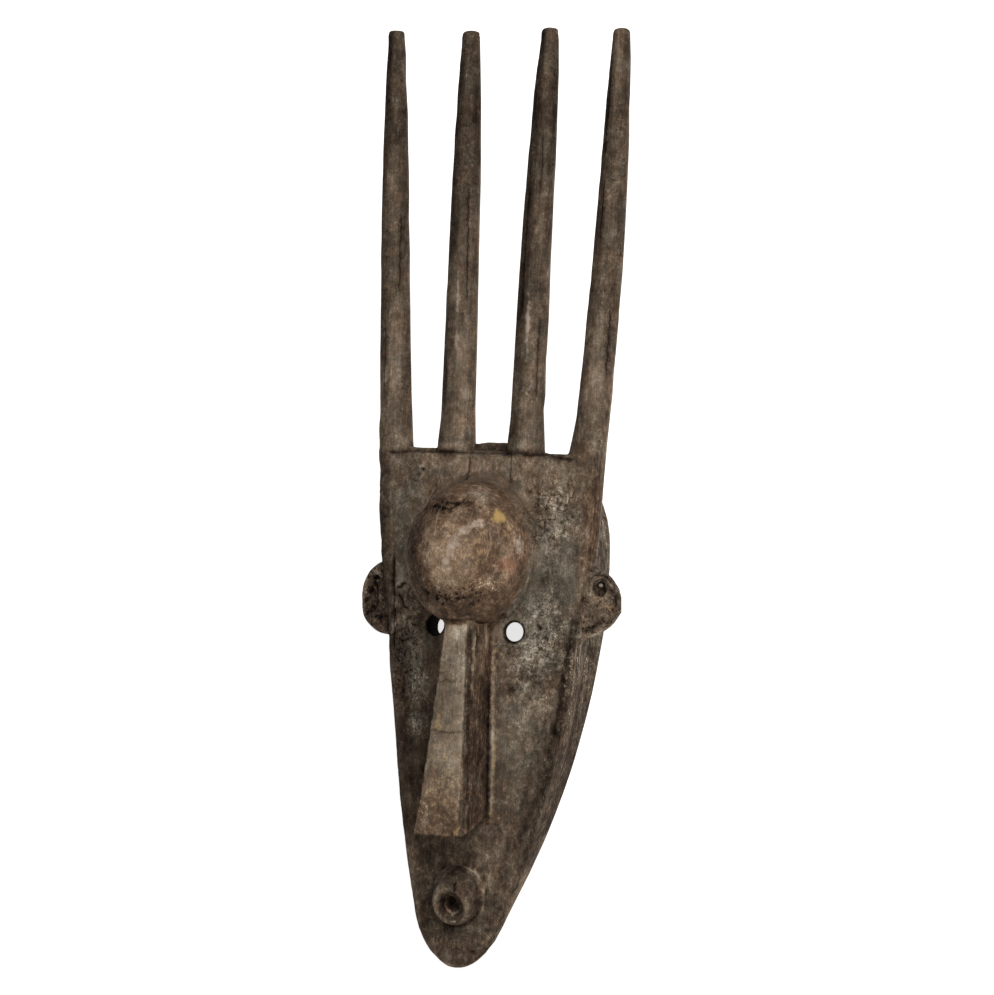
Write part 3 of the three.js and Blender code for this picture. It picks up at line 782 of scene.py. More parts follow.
onHorns = step(y, horns["foot"] - 2, horns["foot"] + 6)
onDome = (1 - step(np.abs(reach - dome["radius"]), 1.5, 4)) * step(z, 6, 12)
onNose = (np.abs(x) < 26) & (y > 90) & (y < 256) & (z > 3) & (onDome < 0.5)
noseFront = step(normals[:, 2], 0.8, 0.93) * onNose * step(z, 24, 28)
noseStrip = step(normals[:, 0], 0.3, 0.5) * (1 - step(normals[:, 0], 0.85, 0.95)) * onNose * step(z, 22, 26)
inHollow = relax(insideHollow(points, normals).astype(float), edges, 3)
onEars = step(np.abs(x), 74, 80) * (1 - step(np.abs(y - 265.5), 27, 30)) * step(-z, 7, 11) * (1 - inHollow)
onFlare = step(fromAxis, 40, 43) * (1 - step(fromAxis, 48, 52)) * (z > -3) * (1 - onDome)
onWalls = step(np.abs(normals[:, 0]), 0.45, 0.75) * (z < 3) * (1 - onHorns)
onTube = step(along, 7, 10) * (fromTube < 17) * (y < 76)
zones = {
    "everywhere": 1.0,
    "horns": onHorns,
    "dome": onDome,
    "flare": onFlare * facing * (1 - onNose),
    "nose": onNose,
    "noseFront": noseFront,
    "noseStrip": noseStrip,
    "noseSide": onNose * (1 - noseFront) * (1 - noseStrip),
    "ears": onEars,
    "leftEar": onEars * (x < 0),
    "rightEar": onEars * (x > 0),
    "walls": onWalls * (1 - inHollow) * (1 - onEars),
    "board": facing * (1 - onHorns) * (1 - onDome) * (1 - onNose) * (1 - onEars),  # and the cheeks below it
    "mouth": (ringPlace(points) < 21) * facing * (z > -8),
    "bore": (fromTube < 9) * (along < 10) * (along > -22) * (y < 76),
    "hollow": inHollow,
}

# Each layer's value where nothing else is said, and what the zones add to it
finish = {
    # tone: the flare's share is painted shade round the foot of the dome
    "tone": (0, {
        "noseFront": 0.36, "noseSide": -0.38, "noseStrip": -0.2, "walls": -0.24, "leftEar": -0.24,
        "rightEar": 0.32, "mouth": -0.25, "bore": 0.85, "flare": -0.06,
    }),
    "umber": (0.52, {"dome": 0.42, "noseSide": 0.3, "noseFront": 0.36, "horns": -0.04}),  # olive to brown
    "rough": (0.8, {"dome": 0.05, "horns": -0.25, "walls": -0.15, "flare": -0.5}),  # how it mottles
    "streak": (0.08, {"walls": 0.38, "noseSide": 0.32, "noseStrip": 0.25, "horns": 0.06, "hollow": 0.4}),
    "pits": (0, {"ears": 0.6}),
    "flecks": (0.08, {"leftEar": 0.8, "rightEar": 0.4}),
    "crackle": (0, {}),
    "ochre": (0, {}),
    "red": (0, {}),
    "chalk": (0, {}),
    "grimeAndShade": (0, {}),
    "worn": (0, {}),
    "raw": (0, {"hollow": 1.0}),
}

# Patches by layer and zone: x, y, z where the depth matters too, half-width, half-height, amount
patches = {
    ("tone", "board"): [
        # the board
        (0, 300, 110, 110, 0.12), (0, 362, 75, 9, 0.25), (-15, 362, 22, 7, 0.2), (18, 362, 18, 7, -0.12),
        (48, 350, 30, 16, 0.16), (55, 308, 20, 24, 0.14), (34, 342, 12, 16, 0.1), (-66, 330, 20, 44, 0.05),
        (-84, 330, 9, 60, -0.3), (60, 320, 30, 60, 0.1), (84, 330, 8, 40, -0.08), (52, 278, 12, 16, -0.1),
        (61, 323, 8, 9, 0.18), (73, 345, 8, 14, 0.14), (46, 321, 6, 16, -0.18), (25, 344, 9, 9, -0.16),
        (76, 298, 7, 18, -0.15), (53, 366, 12, 5, -0.2), (-9, 365, 6, 6, -0.18), (88, 366, 5, 16, 0.2),
        (-82, 345, 5, 30, -0.1),
        # beside the eyes
        (-57, 249, 10, 12, 0.45), (42, 266, 12, 12, 0.12), (74, 247, 7, 12, 0.28),
        # the right cheek, lighter with painted light from the right, with grey patches and darker marks of
        # its own
        (66, 215, 6, 40, -0.05), (31, 202, 8, 7, -0.25), (46, 240, 22, 30, 0.33), (28, 215, 12, 16, 0.2),
        (36, 180, 22, 34, 0.26), (34, 120, 22, 26, 0.12), (61, 154, 5, 16, -0.1), (52, 106, 7, 14, -0.16),
        (38, 122, 8, 10, -0.14), (58, 198, 8, 20, 0.26), (52, 158, 8, 14, 0.18),
        # the left cheek and edge: painted shade of the nose over the cheek, with pale crackled patches of its
        # own
        (-45, 225, 26, 40, -0.25), (-42, 150, 26, 60, -0.45), (-46, 230, 11, 14, 0.38),
        (-44, 203, 12, 17, 0.44), (-44, 174, 12, 13, 0.4), (-44, 150, 8, 8, 0.25), (-66, 279, 7, 12, 0.25),
        (-76, 230, 6, 60, -0.5), (-81, 290, 6, 40, -0.2), (-53, 228, 14, 20, -0.05),
        (-67, 226, 5, 20, -0.14), (-57, 152, 6, 40, -0.16), (-44, 98, 8, 20, -0.14),
        # round the mouth
        (-8, 80, 26, 10, -0.3), (30, 80, 12, 14, 0.1), (0, 30, 35, 30, -0.15), (-24, 48, 10, 26, -0.34),
        (19, 43, 6, 7, 0.22), (27, 28, 6, 10, 0.22),
    ],
    ("tone", "dome"): [
        # painted highlight on the ball's front and its right, painted shade on its left flank and underside,
        # over the darker chips at its upper left
        (4, 292, 58, 26, 28, 0.48), (34, 303, 26, 16, 20, 0.12), (-28, 304, 48, 13, 24, -0.36),
        (-37, 291, 42, 6, 12, 0.16), (-46, 300, 20, 9, 44, -0.14), (-19, 278, 49, 14, 17, -0.42),
        (-12, 329, 44, 20, 9, -0.32), (0, 262, 46, 36, 10, -0.14), (16, 337, 35, 10, 6, 0.15),
        (9, 317, 54, 14, 9, 0.2), (34, 276, 34, 9, 8, 0.15), (39, 292, 30, 6, 8, 0.14),
    ],
    ("tone", "noseFront"): [(4, 240, 13, 10, 0.3), (12, 190, 3.4, 26, 0.15)],
    ("tone", "nose"): [(14, 230, 13, 9, 26, 0.42), (13.6, 233, 28.5, 3, 13, -0.5)],
    ("tone", "everywhere"): [
        # the second spot darkens the right ear's pit with painted shade
        (17, 244, 8, 12, 13, 0.42), (89.5, 278.5, -13, 7.5, 7, -0.6), (-98, 268, -12, 5, 14, 0.2),
        (-84, 249, -10, 8, 6, -0.15), (88, 271, -13, 6, 5, -0.12), (72, 236, -34, 10, 14, 0.2),
    ],
    ("tone", "horns"): [
        (80, 398, 14, 30, -0.2), (29, 396, 14, 24, -0.06), (29, 530, 14, 55, -0.08),
        (-30, 374, 11, 5, 0.4), (26, 375, 12, 6, 0.34),
    ],
    ("tone", "mouth"): [(1, 39.5, 9, 9, 4.5, 0.5), (15, 58, 4, 6, 11, -0.42), (6, 72, 12, 10, 7, -0.28)],
    ("umber", "board"): [
        (48, 250, 34, 50, -0.55), (62, 305, 20, 40, -0.4), (40, 170, 24, 50, -0.25),
        (-50, 228, 18, 26, -0.45), (-44, 203, 12, 17, -0.4), (-44, 174, 12, 13, -0.5),
        (-66, 279, 8, 14, -0.5), (84, 320, 10, 60, 0.4), (-64, 320, 16, 50, -0.3),
    ],
    ("umber", "dome"): [(16, 337, 35, 12, 8, -0.5), (-16, 310, 50, 10, 10, -0.25)],
    ("rough", "board"): [
        (50, 240, 30, 50, 0.5), (60, 320, 28, 40, 0.3), (-50, 190, 34, 90, -0.25), (-43, 201, 11, 13, 0.6),
        (-43, 174, 11, 10, 0.6), (-58, 262, 14, 20, 0.5), (70, 285, 8, 30, -0.4), (24, 160, 8, 40, -0.3),
    ],
    ("pits", "dome"): [(-12, 330, 44, 16, 9, 0.9), (2, 264, 46, 30, 8, 0.9), (-34, 290, 36, 14, 30, 0.4)],
    ("pits", "board"): [(44, 240, 26, 34, 0.5), (-56, 225, 22, 50, 0.6), (55, 325, 24, 20, 0.5)],
    ("flecks", "board"): [
        (71, 216, 5, 24, 1.0), (68, 180, 5, 24, 0.6), (62, 245, 6, 14, 0.8), (55, 330, 24, 22, 0.35),
        (-44, 203, 13, 17, 0.9), (-44, 174, 13, 13, 0.8), (-56, 225, 12, 18, 0.5), (38, 222, 16, 18, 0.4),
        (-14, 28, 12, 12, 0.4),
    ],
    ("flecks", "dome"): [
        (33, 277, 34, 9, 8, 0.9), (-20, 285, 46, 12, 16, 0.3), (20, 273, 42, 14, 7, 0.9),
        (0, 268, 50, 16, 5, 0.5),
    ],
    ("flecks", "noseFront"): [(-14, 112, 6, 14, 0.9), (4, 225, 10, 22, 0.4), (0, 140, 14, 20, 0.3)],
    ("crackle", "board"): [
        (46, 222, 34, 60, 0.8), (-54, 210, 28, 62, 1.0), (56, 325, 30, 44, 0.9), (-56, 350, 30, 20, 0.6),
    ],
    ("crackle", "dome"): [(-20, 300, 40, 26, 30, 0.5), (0, 262, 44, 34, 12, 0.9)],
    ("ochre", "dome"): [
        (30.6, 322.3, 35.4, 6.4, 6, 1.5), (22.5, 298, 52, 10, 16, 0.25), (34, 312, 32, 7, 8, 0.25),
    ],
    ("ochre", "noseFront"): [(14.5, 98.5, 36, 4, 5, 0.7), (-8, 176, 4, 8, 0.3), (0, 140, 20, 56, 0.25)],
    ("ochre", "board"): [(17, 226, 4, 18, 0.35), (21.5, 150, 2.4, 60, 0.3)],
    ("ochre", "ears"): [(98, 263, -11, 6, 6, 0.3), (92, 266, -10, 8, 6, 0.25)],
    ("red", "dome"): [
        (38.8, 288.7, 30, 7, 6, 0.8), (32, 288, 39, 8, 4.5, 0.6), (34.4, 311.2, 37, 6, 7, 0.4),
        (41, 296, 16, 5, 9, 0.5),
    ],
    ("red", "nose"): [(-8, 140, 35, 4, 5, 0.6)],
    ("chalk", "dome"): [
        (3.4, 287.6, 59, 3.4, 3.4, 1.5), (6, 296, 59, 4, 6, 0.65), (9, 304, 58, 5, 6, 0.75),
        (14, 311, 55.3, 6, 4.4, 0.8), (21.5, 315.5, 49.8, 7, 3, 0.75), (41.4, 303, 22, 3.2, 10, 0.85),
        (32, 287, 40, 5, 3, 0.35),
    ],
    ("chalk", "everywhere"): [
        # the horns
        (28.6, 462, 6, 2, 24, 1.0), (-28, 452, 6, 2, 11, 0.85), (-28.5, 482, 6, 1.6, 16, 0.7),
        (31, 420, 5, 3, 10, 0.3), (-85, 425, 5, 2, 10, 0.5), (85, 600, 8, 1.2, 12, 0.5),
        (-30, 640, 8, 1, 10, 0.4),
        # the board
        (-53, 360, 3.4, 1.8, 0.6), (-46, 357, 1.8, 2.6, 0.5), (-61, 345, 2, 4, 0.35), (62, 330, 2, 5, 0.4),
        # the left edge, and the right ear, with a pale dot of painted light in its pit
        (-70.6, 262, -7, 2.4, 5, 0.8), (-70.6, 246, -7, 2.6, 7, 0.8), (-88, 283, -11, 4, 2, 0.6),
        (90.2, 279.3, 1.5, 1.6, 1.5), (98, 280, -12, 2, 4, 0.5),
        # the mouth's bore and lower lip
        (-3.6, 43.6, 5, 1.3, 2.8, 0.9), (-1, 41, 6, 1.5, 2.4, 0.9), (-3.7, 37.2, 11.5, 1.6, 1.5, 1.2),
        (1.1, 36.4, 11, 1.2, 1.2, 0.9), (4.1, 36.6, 11.3, 1.8, 1.4, 1.3),
    ],
}

# What grades within the zones, mostly of tone, and how strongly the marks show
grade = {
    "upHorns": [(0, -0.03), (0.12, -0.06), (0.3, -0.14), (0.6, -0.28), (1, -0.52)],
    "eachHorn": np.array([0.14, 0.12, 0.04, 0.14]),
    "eachTip": np.array([0, -0.04, 0.04, 0.15]),
    "hornMottle": 0.34,
    # painted light on the horns: a highlight along the ridge, shade down the left side and the right edge
    "hornRidgeHighlight": 0.14,
    "hornLeftShade": 0.2,
    "hornRightShade": 0.16,
    # painted light and shade round the dome's flare: lighter to the right and at the top
    "flareLightRight": 0.06,
    "flareLightTop": 0.08,
    "noseTip": (0.4, 0.55, 0.25),  # darker, less brown and smoother than the rest of its front
    "lowWalls": 0.1,
    "earSides": 0.2,
    "earRim": 0.4,
    "lip": 0.3,
    # painted shade round the mouth's bore
    "bore": 0.4,
    "tubeLeft": 0.25,
    "eyes": (1.7, 0.9),  # painted shade inside the eye holes, the left one and the right one
    "deepLines": 0.5,
    "fineLines": 0.25,
    "dents": 0.55,
    "hornPits": 0.22,
    "hornFlecks": 0.3,
    "grimeAndShade": [(6, 2.2, 0.5), (40, 0.4, 0.6)],  # darker in the hollows, as dirt and as painted shade: smoothing that finds the hollows, gain per mm, most
    "grimeAndShadeLess": (0.65, 0.75),  # on the mouth and on the dome's flare
    "worn": (6, 1.6, 0.12, 0.7),  # the same for what stands up, less a threshold
}

layers = {}
for name, (start, added) in finish.items():
    layers[name] = np.full(len(points), float(start))
    for zone, amount in added.items():
        layers[name] += amount * zones[zone]
wobble = 1 + 0.35 * lumps(points, (12, 12, 12), 51) + 0.2 * lumps(points, (4, 4, 4), 52)  # ragged edges
for (name, zone), spots in patches.items():
    for px, py, *pz, wide, high, amount in spots:
        deep = (z - pz[0]) / max(wide, high) if pz else 0
        d = np.sqrt(((x - px) / wide) ** 2 + ((y - py) / high) ** 2 + deep**2) * wobble
        layers[name] += amount * (1 - step(d, 0.2, 1.3)) * zones[zone]

tone = layers["tone"]
# painted light and shade on the dome's flare: lighter to the right and at the top, darker low on the left
tone += zones["flare"] * (grade["flareLightRight"] * np.cos(turn) + grade["flareLightTop"] * np.sin(turn))
darker, greyer, smoother = grade["noseTip"]
tone -= noseFront * darker * step(-y, -132, -100)
layers["umber"] -= noseFront * greyer * step(y, 110, 150)
layers["rough"] -= noseFront * smoother * step(y, 120, 150)
tone += onHorns * (follow(grade["upHorns"], upHorn) + grade["eachHorn"][which])
tone += onHorns * grade["hornMottle"] * lumps(points, (7, 60, 30), 61, 3)
tone += onHorns * step(upHorn, 0.6, 1) * grade["eachTip"][which]
# painted light on the horns: a highlight along the ridge, shade down the left side and the right edge
tone += onHorns * facing * grade["hornRidgeHighlight"] * bell(across, 0.35, 0.5)
tone -= onHorns * facing * grade["hornLeftShade"] * step(-across, -0.1, 0.9)
tone -= onHorns * facing * grade["hornRightShade"] * step(across, 0.6, 1)
tone -= zones["walls"] * grade["lowWalls"] * (1 - step(y, 120, 180))
tone -= grade["earSides"] * onEars * step(np.abs(normals[:, 0]), 0.5, 0.8)
earEdge = np.hypot(np.abs(x) - 74, y - 265.5) / 27.5
tone -= zones["rightEar"] * grade["earRim"] * step(earEdge, 0.82, 0.95) * step(y, 250, 262)
tone += onTube * grade["lip"] * bell(fromTube, 12.6, 2.2)
fromBore = np.hypot(x + 1.5, (y - 49.5) / 1.15)
# painted shade round the mouth's bore
tone -= zones["mouth"] * grade["bore"] * (1 - step(fromBore, 4.4, 6))
tone += onTube * grade["tubeLeft"] * step(-x, -1, 8) * (1 - step(fromBore, 9, 12)) * step(fromBore, 5, 7)
# painted shade inside the eye holes
for eye, darker in zip(eyes["holes"], grade["eyes"]):
    d = np.hypot(x - eye["x"], y - eye["y"]) - eye["radii"][1][1]
    tone -= darker * (1 - step(d, -0.6, 0.8)) * (np.abs(z) < 30) * (1 - onNose)
# lines darken the wood along them; in the stop cut, the valley, the cut at the nose's foot and the cut above
# the dome this is painted shade, and the cheek's lip is a painted highlight
for line, width, _, dark in lines:
    near, away, fade = alongLine(points, line, normals[:, 2] > 0.2)
    most = grade["deepLines"] if width > 1.6 else grade["fineLines"]
    tone[near] -= most * dark * fade * bell(away, 0, width * 1.4)
for dent in dents:
    near, share = inDent(points, dent)
    tone[near] -= grade["dents"] * dent[6] * share
layers["pits"] += grade["hornPits"] * onHorns * facing * step(lumps(points, (14, 34, 14), 73), 0, 0.3)
layers["flecks"] += grade["hornFlecks"] * onHorns * facing * step(lumps(points, (14, 30, 14), 71), 0, 0.3)


def sunk(rounds):  # how far each point lies below the smoothed surface, in mm
    return ((relax(points, edges, rounds) - points) * normals).sum(1)


# darker in the hollows: dirt there, and painted shade
for rounds, gain, most in grade["grimeAndShade"]:
    layers["grimeAndShade"] += np.clip(sunk(rounds) * gain, 0, 1) * most
mouthSpared, flareSpared = grade["grimeAndShadeLess"]
layers["grimeAndShade"] *= 1 - mouthSpared * np.maximum(zones["mouth"], zones["bore"]) - flareSpared * zones["flare"]
rounds, gain, least, most = grade["worn"]
layers["worn"] += np.clip(-sunk(rounds) * gain - least, 0, most)

scratches = [  # fine pale lines: points, half-width
    ([(-27, 336), (-33, 326), (-37, 312), (-39, 298), (-39.5, 286)], 0.5),
    ([(-19, 340), (-27, 330), (-33, 318)], 0.45),
    ([(26.7, 336), (32, 326), (36.4, 314), (38, 300)], 0.5),
    ([(33, 331), (38, 318), (40.3, 304), (40.4, 288)], 0.5),
    ([(29, 314), (30, 300), (29, 288)], 0.4),
    ([(-8, 330), (-9, 318), (-7, 306)], 0.45),
    ([(36, 268), (30, 262), (22, 256)], 0.45),
    ([(-38.5, 345), (-45, 336), (-49, 325)], 0.45),
    ([(42.6, 310), (43, 300), (42.6, 291), (41.2, 281.7), (38.4, 273.5)], 0.45),
    ([(34.4, 266.2), (29.8, 260.4), (23.9, 255.1)], 0.45),
]
fine = [(line, width * 0.5, dark) for line, width, _, dark in lines if dark > 0.3 and width < 1.9]
for name, marks in (("crack", fine), ("scratch", [(line, width, 1.0) for line, width in scratches])):
    away = np.full(len(points), 9.0)
    amount = np.zeros(len(points))
    for line, width, strength in marks:
        near, d, fade = alongLine(points, line, normals[:, 2] > (0.4 if name == "scratch" else -0.15))
        on = fade * strength * (1 - step(np.abs(d), 2.2, 3.6))
        better = on > amount[near]
        away[near[better]] = (d / width)[better]
        amount[near[better]] = on[better]
    layers[name + "Side"] = away
    layers[name + "Depth"] = amount

for name, values in layers.items():
    layer = mask.data.attributes.new(name, "FLOAT", "POINT")
    layer.data.foreach_set("value", values.astype(np.float32))
print("finish painted:", len(layers), "layers")


def linear(hexColour):
    parts = [int(hexColour[i : i + 2], 16) / 255 for i in (1, 3, 5)]
    return tuple(c / 12.92 if c <= 0.04045 else ((c + 0.055) / 1.055) ** 2.4 for c in parts) + (1.0,)


def addNode(tree, kind, inputs, take=0, **settings):  # gives back the output to take from it
    node = tree.nodes.new("ShaderNode" + kind)
    for key, value in settings.items():
        setattr(node, key, value)
    for key, value in inputs.items():
        if isinstance(value, bpy.types.NodeSocket):
            tree.links.new(value, node.inputs[key])
        else:
            node.inputs[key].default_value = value
    return node.outputs[take] if node.outputs else None


def emptyMaterial(name):
    mat = bpy.data.materials.new(name)
    mat.use_nodes = True
    mat.node_tree.nodes.clear()
    return mat, partial(addNode, mat.node_tree)


wood = {
    "olive": [
        (0.0, "#0d0b08"), (0.2, "#262019"), (0.4, "#443d34"), (0.55, "#5e564a"),
        (0.7, "#7b7163"), (0.85, "#9b907f"), (1.0, "#cabfac"),
    ],
    "umber": [
        (0.0, "#100b09"), (0.2, "#2a1e18"), (0.4, "#49392d"), (0.55, "#65503f"),
        (0.7, "#846c57"), (0.85, "#a58b71"), (1.0, "#cab497"),
    ],
    "raw": [(0.0, "#1d1610"), (0.3, "#3d2f23"), (0.55, "#644f3b"), (0.8, "#876f55"), (1.0, "#a58c6e")],
    # size in mm, how far it is drawn out along the grain, detail, roughness
    "patterns": {
        "blotch": (17.0, 1.7, 3.0, 0.55),  # smoke and handling
        "patch": (7.5, 1.4, 3.0, 0.6),  # where the crust has rubbed away
        "crust": (3.4, 1.25, 5.0, 0.65),  # the patina's mottled crust
        "lace": (3.0, 1.5, 2.5, 0.6),  # thin pale veins where it has crazed
        "speck": (0.9, 1.5, 2.0, 0.6),
        "pit": (2.7, 1.0, 2.0, 0.5),
        "fleck": (1.5, 1.3, 2.0, 0.6),
        "grain": (1.1, 20.0, 3.0, 0.6),
        "hue": (9.0, 1.5, 3.0, 0.6),
    },
    "spots": {"pit": (0.57, 0.64), "fleck": (0.57, 0.66)},  # the pattern's heights that make a spot
    "crazed": (0.4, 0.58),  # and those of the patches that make veins
    "blotchTone": 0.9,
    "patchTone": 0.95,
    "crustTone": 2.0,
    "crustFloor": -0.05,  # it pales in spots more than it darkens
    "speckTone": 0.9,
    "laceTone": 0.42,
    "laceWidth": 0.035,
    "grainTone": (0.2, 2.8),  # everywhere, and more where it is streaked
    "hueDrift": 1.7,
    "pitTone": -0.85,
    "fleckTone": 0.7,
    "grimeAndShadeTone": -0.6,
    "wornTone": 0.3,
    # layer, colour, most that it covers
    "stains": [("ochre", "#b5965f", 0.8), ("red", "#9a644c", 0.55), ("chalk", "#b8a796", 0.8)],
    "stainRagged": 2.6,
    "stainEdge": (0.25, 1.25),
    "stainFade": 5.0,  # it fades out where less than a fifth is painted
    # size in mm, how far its cells are pulled out of shape, and where the crust has it
    "crackle": {
        "size": 5.6, "line": 0.085, "bend": 6.0, "bendScale": 0.35, "where": (0.4, 0.55), "colour": "#1c1611",
        "most": 0.8, "height": -0.3,
    },
    "crack": {"line": 1.0, "colour": "#1b120b", "most": 0.9, "height": -0.6},
    "scratch": {"line": 1.0, "colour": "#b5a58c", "most": 0.4, "height": 0.1},
    "heights": {"crust": 0.32, "grain": 0.16, "pit": -0.35},
    "roughness": (0.92, 0.68),  # in the crust's hollows and on its tops
    "ior": 1.5,
    "sheen": 0.035,  # as specular level: it is dull
}


def agedWood():  # dense hardwood cut by knife, then smoked and handled for years: dull, mottled, softly worn, with light and shade painted into its tone
    mat, add = emptyMaterial("smoked hardwood, knife carved")
    place = add("TexCoord", {}, "Object")
    turned = {"Vector": place, "Rotation": (-rest["tilt"], 0, 0), "Scale": (1000, 1000, 1000)}
    millimetres = add("Mapping", turned)  # y now runs up the face, along the grain
    kept = {name: add("Attribute", {}, "Fac", attribute_name=name) for name in layers}

    noises, off, spots = {}, {}, {}
    for name, (size, drawn, detail, rough) in wood["patterns"].items():
        stretch = {"Vector": millimetres, "Scale": (1, 1 / drawn, 1), "Location": (size * 7, 0, size * 3)}
        look = {"Vector": add("Mapping", stretch), "Scale": 1 / size, "Detail": detail, "Roughness": rough}
        noises[name] = add("TexNoise", look)
        if name in wood["spots"]:
            low, high = wood["spots"][name]
            spots[name] = add("MapRange", {0: noises[name], 1: low, 2: high})
        else:
            off[name] = add("Math", {0: noises[name], 1: 0.5}, operation="SUBTRACT")
    off["crust"] = add("Math", {0: off["crust"], 1: wood["crustFloor"]}, operation="MAXIMUM")
    veins = add("Math", {0: off["lace"]}, operation="ABSOLUTE")
    veins = add("MapRange", {0: veins, 1: 0.0, 2: wood["laceWidth"], 3: 1.0, 4: 0.0})
    low, high = wood["crazed"]
    crazed = add("MapRange", {0: noises["patch"], 1: low, 2: high})
    veins = add("Math", {0: veins, 1: crazed}, operation="MULTIPLY")

    # what adds to the tone, and where
    tone = kept["tone"]
    everywhere, streaked = wood["grainTone"]
    grain = add("Math", {0: kept["streak"], 1: streaked, 2: everywhere}, operation="MULTIPLY_ADD")
    for pattern, where, amount in (
        (off["blotch"], 1.0, wood["blotchTone"]),
        (off["patch"], kept["rough"], wood["patchTone"]),
        (off["crust"], kept["rough"], wood["crustTone"]),
        (off["speck"], kept["rough"], wood["speckTone"]),
        (veins, kept["rough"], wood["laceTone"]),
        (off["grain"], grain, 1.0),
        (spots["pit"], kept["pits"], wood["pitTone"]),
        (spots["fleck"], kept["flecks"], wood["fleckTone"]),
        (kept["grimeAndShade"], 1.0, wood["grimeAndShadeTone"]),
        (kept["worn"], 1.0, wood["wornTone"]),
    ):
        share = add("Math", {0: where, 1: amount}, operation="MULTIPLY")
        tone = add("Math", {0: pattern, 1: share, 2: tone}, operation="MULTIPLY_ADD")
    level = add("Math", {0: tone, 1: 0.5, 2: 0.5}, operation="MULTIPLY_ADD")
    ramps = {}
    for name in ("olive", "umber", "raw"):
        ramps[name] = add("ValToRGB", {"Fac": level})
        stops = ramps[name].node.color_ramp.elements
        while len(stops) < len(wood[name]):
            stops.new(0.5)
        for stop, (at, colour) in zip(stops, wood[name]):
            stop.position = at
            stop.color = linear(colour)

    # what covers the olive wood, and how far: brown, the raw hollow, stains, crackle, cracks, scratches
    drift = add("Math", {0: off["hue"], 1: wood["hueDrift"], 2: kept["umber"]}, operation="MULTIPLY_ADD")
    covers = [(add("Clamp", {0: drift}), ramps["umber"]), (kept["raw"], ramps["raw"])]
    low, high = wood["stainEdge"]
    for name, stain, most in wood["stains"]:
        torn = {0: off["crust"], 1: wood["stainRagged"], 2: kept[name]}
        torn = add("Math", torn, operation="MULTIPLY_ADD")
        share = add("MapRange", {0: torn, 1: low, 2: high, 3: 0.0, 4: most})
        near = add("Math", {0: kept[name], 1: wood["stainFade"]}, operation="MULTIPLY", use_clamp=True)
        covers.append((add("Math", {0: share, 1: near}, operation="MULTIPLY"), linear(stain)))

    crackle = wood["crackle"]
    bend = {"Vector": millimetres, "Scale": crackle["bendScale"], "Detail": 3.0}
    bend = {0: add("TexNoise", bend, 1), 1: (crackle["bend"],) * 3, 2: millimetres}
    net = {"Vector": add("VectorMath", bend, operation="MULTIPLY_ADD"), "Scale": 1 / crackle["size"]}
    net = add("TexVoronoi", net, "Distance", feature="DISTANCE_TO_EDGE")
    low, high = crackle["where"]
    patchy = add("MapRange", {0: noises["hue"], 1: low, 2: high})
    crazed = add("Math", {0: patchy, 1: kept["crackle"]}, operation="MULTIPLY")
    pitted = add("Math", {0: spots["pit"], 1: kept["pits"]}, operation="MULTIPLY")
    relief = [(noises["crust"], "crust"), (noises["grain"], "grain"), (pitted, "pit")]
    relief = [(pattern, wood["heights"][name]) for pattern, name in relief]
    for name, away, where in (
        ("crackle", net, crazed),
        ("crack", add("Math", {0: kept["crackSide"]}, operation="ABSOLUTE"), kept["crackDepth"]),
        ("scratch", add("Math", {0: kept["scratchSide"]}, operation="ABSOLUTE"), kept["scratchDepth"]),
    ):
        mark = wood[name]
        line = add("MapRange", {0: away, 1: 0.0, 2: mark["line"], 3: 1.0, 4: 0.0})
        line = add("Math", {0: line, 1: where}, operation="MULTIPLY", use_clamp=True)
        share = add("Math", {0: line, 1: mark["most"]}, operation="MULTIPLY")
        covers.append((share, linear(mark["colour"])))
        relief.append((line, mark["height"]))

    colour = ramps["olive"]
    for share, over in covers:
        colour = add("Mix", {0: share, 6: colour, 7: over}, 2, data_type="RGBA")
    height = 0.0
    for pattern, amount in relief:
        height = add("Math", {0: pattern, 1: amount, 2: height}, operation="MULTIPLY_ADD")
    hollows, tops = wood["roughness"]
    look = {
        "Base Color": colour,
        "Roughness": add("MapRange", {0: noises["crust"], 1: 0.3, 2: 0.7, 3: hollows, 4: tops}),
        "IOR": wood["ior"],
        "Specular IOR Level": wood["sheen"],
        "Normal": add("Bump", {"Strength": 1.0, "Distance": 0.001, "Height": height}),
    }
    add("OutputMaterial", {"Surface": add("BsdfPrincipled", look)})
    return mat


mask.data.materials.append(agedWood())
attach(mask, "root")
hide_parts("carved_mask")
print("wood made")


# Studio: a white table lit from within, a large soft lamp on the right and a weak one on the left
studio = {
    "floorSize": 8.0,
    "floorColour": "#f4f3f1",
    "floorRoughness": 0.9,
    "floorGlow": 0.75,
    "surround": 0.3,
    "aim": (0, 0, 0.06),
    "lamps": [
        {"name": "key", "from": (0.62, 0.2, 0.77), "distance": 2.2, "size": 1.4, "watts": 34},
        {"name": "fill", "from": (-0.5, -0.3, 0.8), "distance": 2.6, "size": 2.0, "watts": 6},
    ],
}


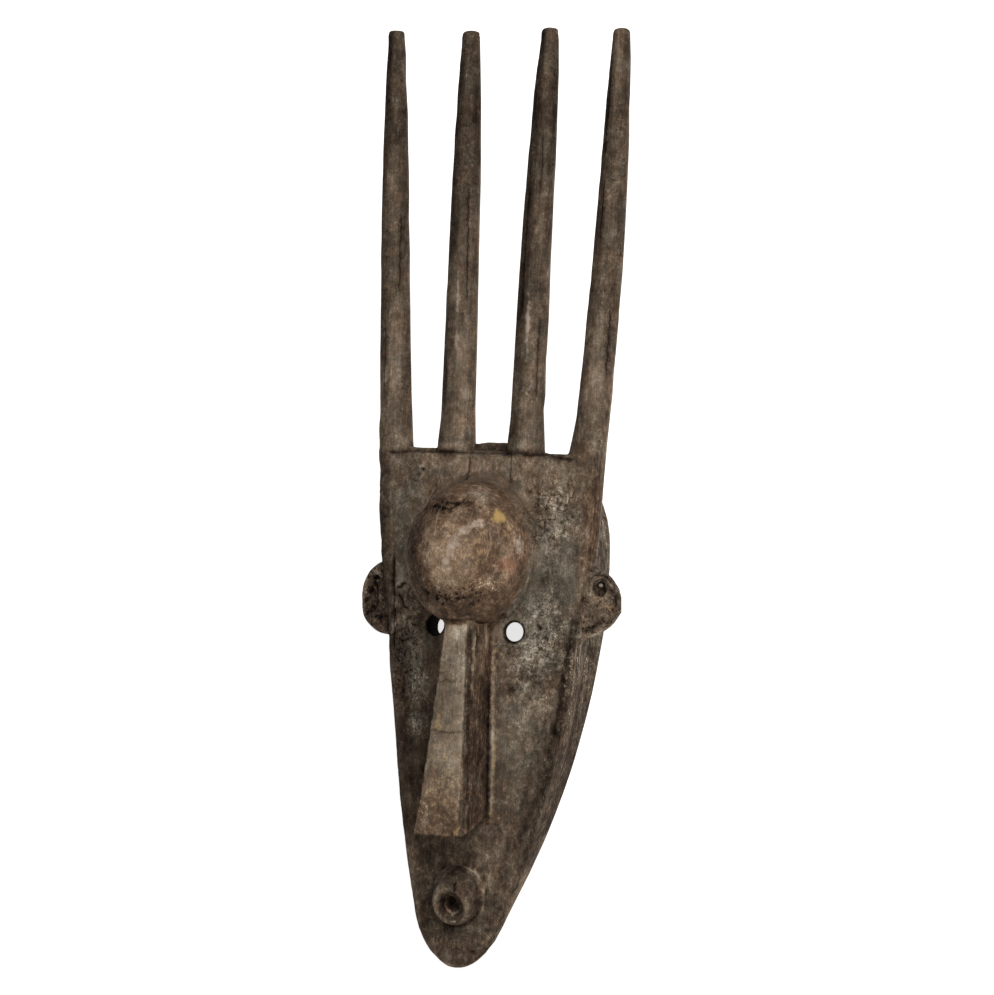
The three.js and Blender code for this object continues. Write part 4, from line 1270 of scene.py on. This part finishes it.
def makeFloor():
    bpy.ops.object.select_all(action="DESELECT")
    bpy.ops.mesh.primitive_plane_add(size=studio["floorSize"], location=(0, 0, 0))
    floor = bpy.context.object
    floor.name = "floor"
    mat, add = emptyMaterial("white table, lit from within")
    look = {
        "Base Color": linear(studio["floorColour"]),
        "Roughness": studio["floorRoughness"],
        "Emission Color": (1, 1, 1, 1),
        "Emission Strength": studio["floorGlow"],
    }
    add("OutputMaterial", {"Surface": add("BsdfPrincipled", look)})
    floor.data.materials.append(mat)


def makeLamps():
    aim = Vector(studio["aim"])
    for lamp in studio["lamps"]:
        light = bpy.data.lights.new(lamp["name"], "AREA")
        light.shape = "DISK"
        light.size = lamp["size"]
        light.energy = lamp["watts"]
        obj = bpy.data.objects.new(lamp["name"], light)
        direction = Vector(lamp["from"]).normalized()
        obj.location = aim + direction * lamp["distance"]
        obj.rotation_euler = direction.to_track_quat("Z", "Y").to_euler()
        bpy.context.scene.collection.objects.link(obj)
    world = bpy.data.worlds.new("studio")
    world.use_nodes = True
    background = world.node_tree.nodes["Background"]
    background.inputs["Color"].default_value = (1, 1, 1, 1)
    background.inputs["Strength"].default_value = studio["surround"]
    bpy.context.scene.world = world


makeFloor()
makeLamps()
bpy.context.scene.view_settings.view_transform = "Standard"
print("studio lit")


# Camera: down on the lying mask from the photograph's side, a little to its right and from below
view = {
    "target": (0.015, -0.002, 0.0949),
    "toCamera": (0.4534, -0.2581, 0.8532),
    "upTilt": math.radians(20.2),
    "distance": 3.0,
    "lens": 153.03,
    "sensor": 36.0,
}


def makeCamera():
    data = bpy.data.cameras.new("photo view")
    data.lens = view["lens"]
    data.sensor_width = view["sensor"]
    data.sensor_fit = "HORIZONTAL"
    camera = bpy.data.objects.new("photo view", data)
    back = Vector(view["toCamera"]).normalized()
    hint = Vector((0, math.cos(view["upTilt"]), math.sin(view["upTilt"])))
    right = hint.cross(back).normalized()
    up = back.cross(right)
    camera.matrix_world = Matrix((right, up, back)).transposed().to_4x4()
    camera.location = Vector(view["target"]) + back * view["distance"]
    bpy.context.scene.collection.objects.link(camera)
    bpy.context.scene.camera = camera


makeCamera()
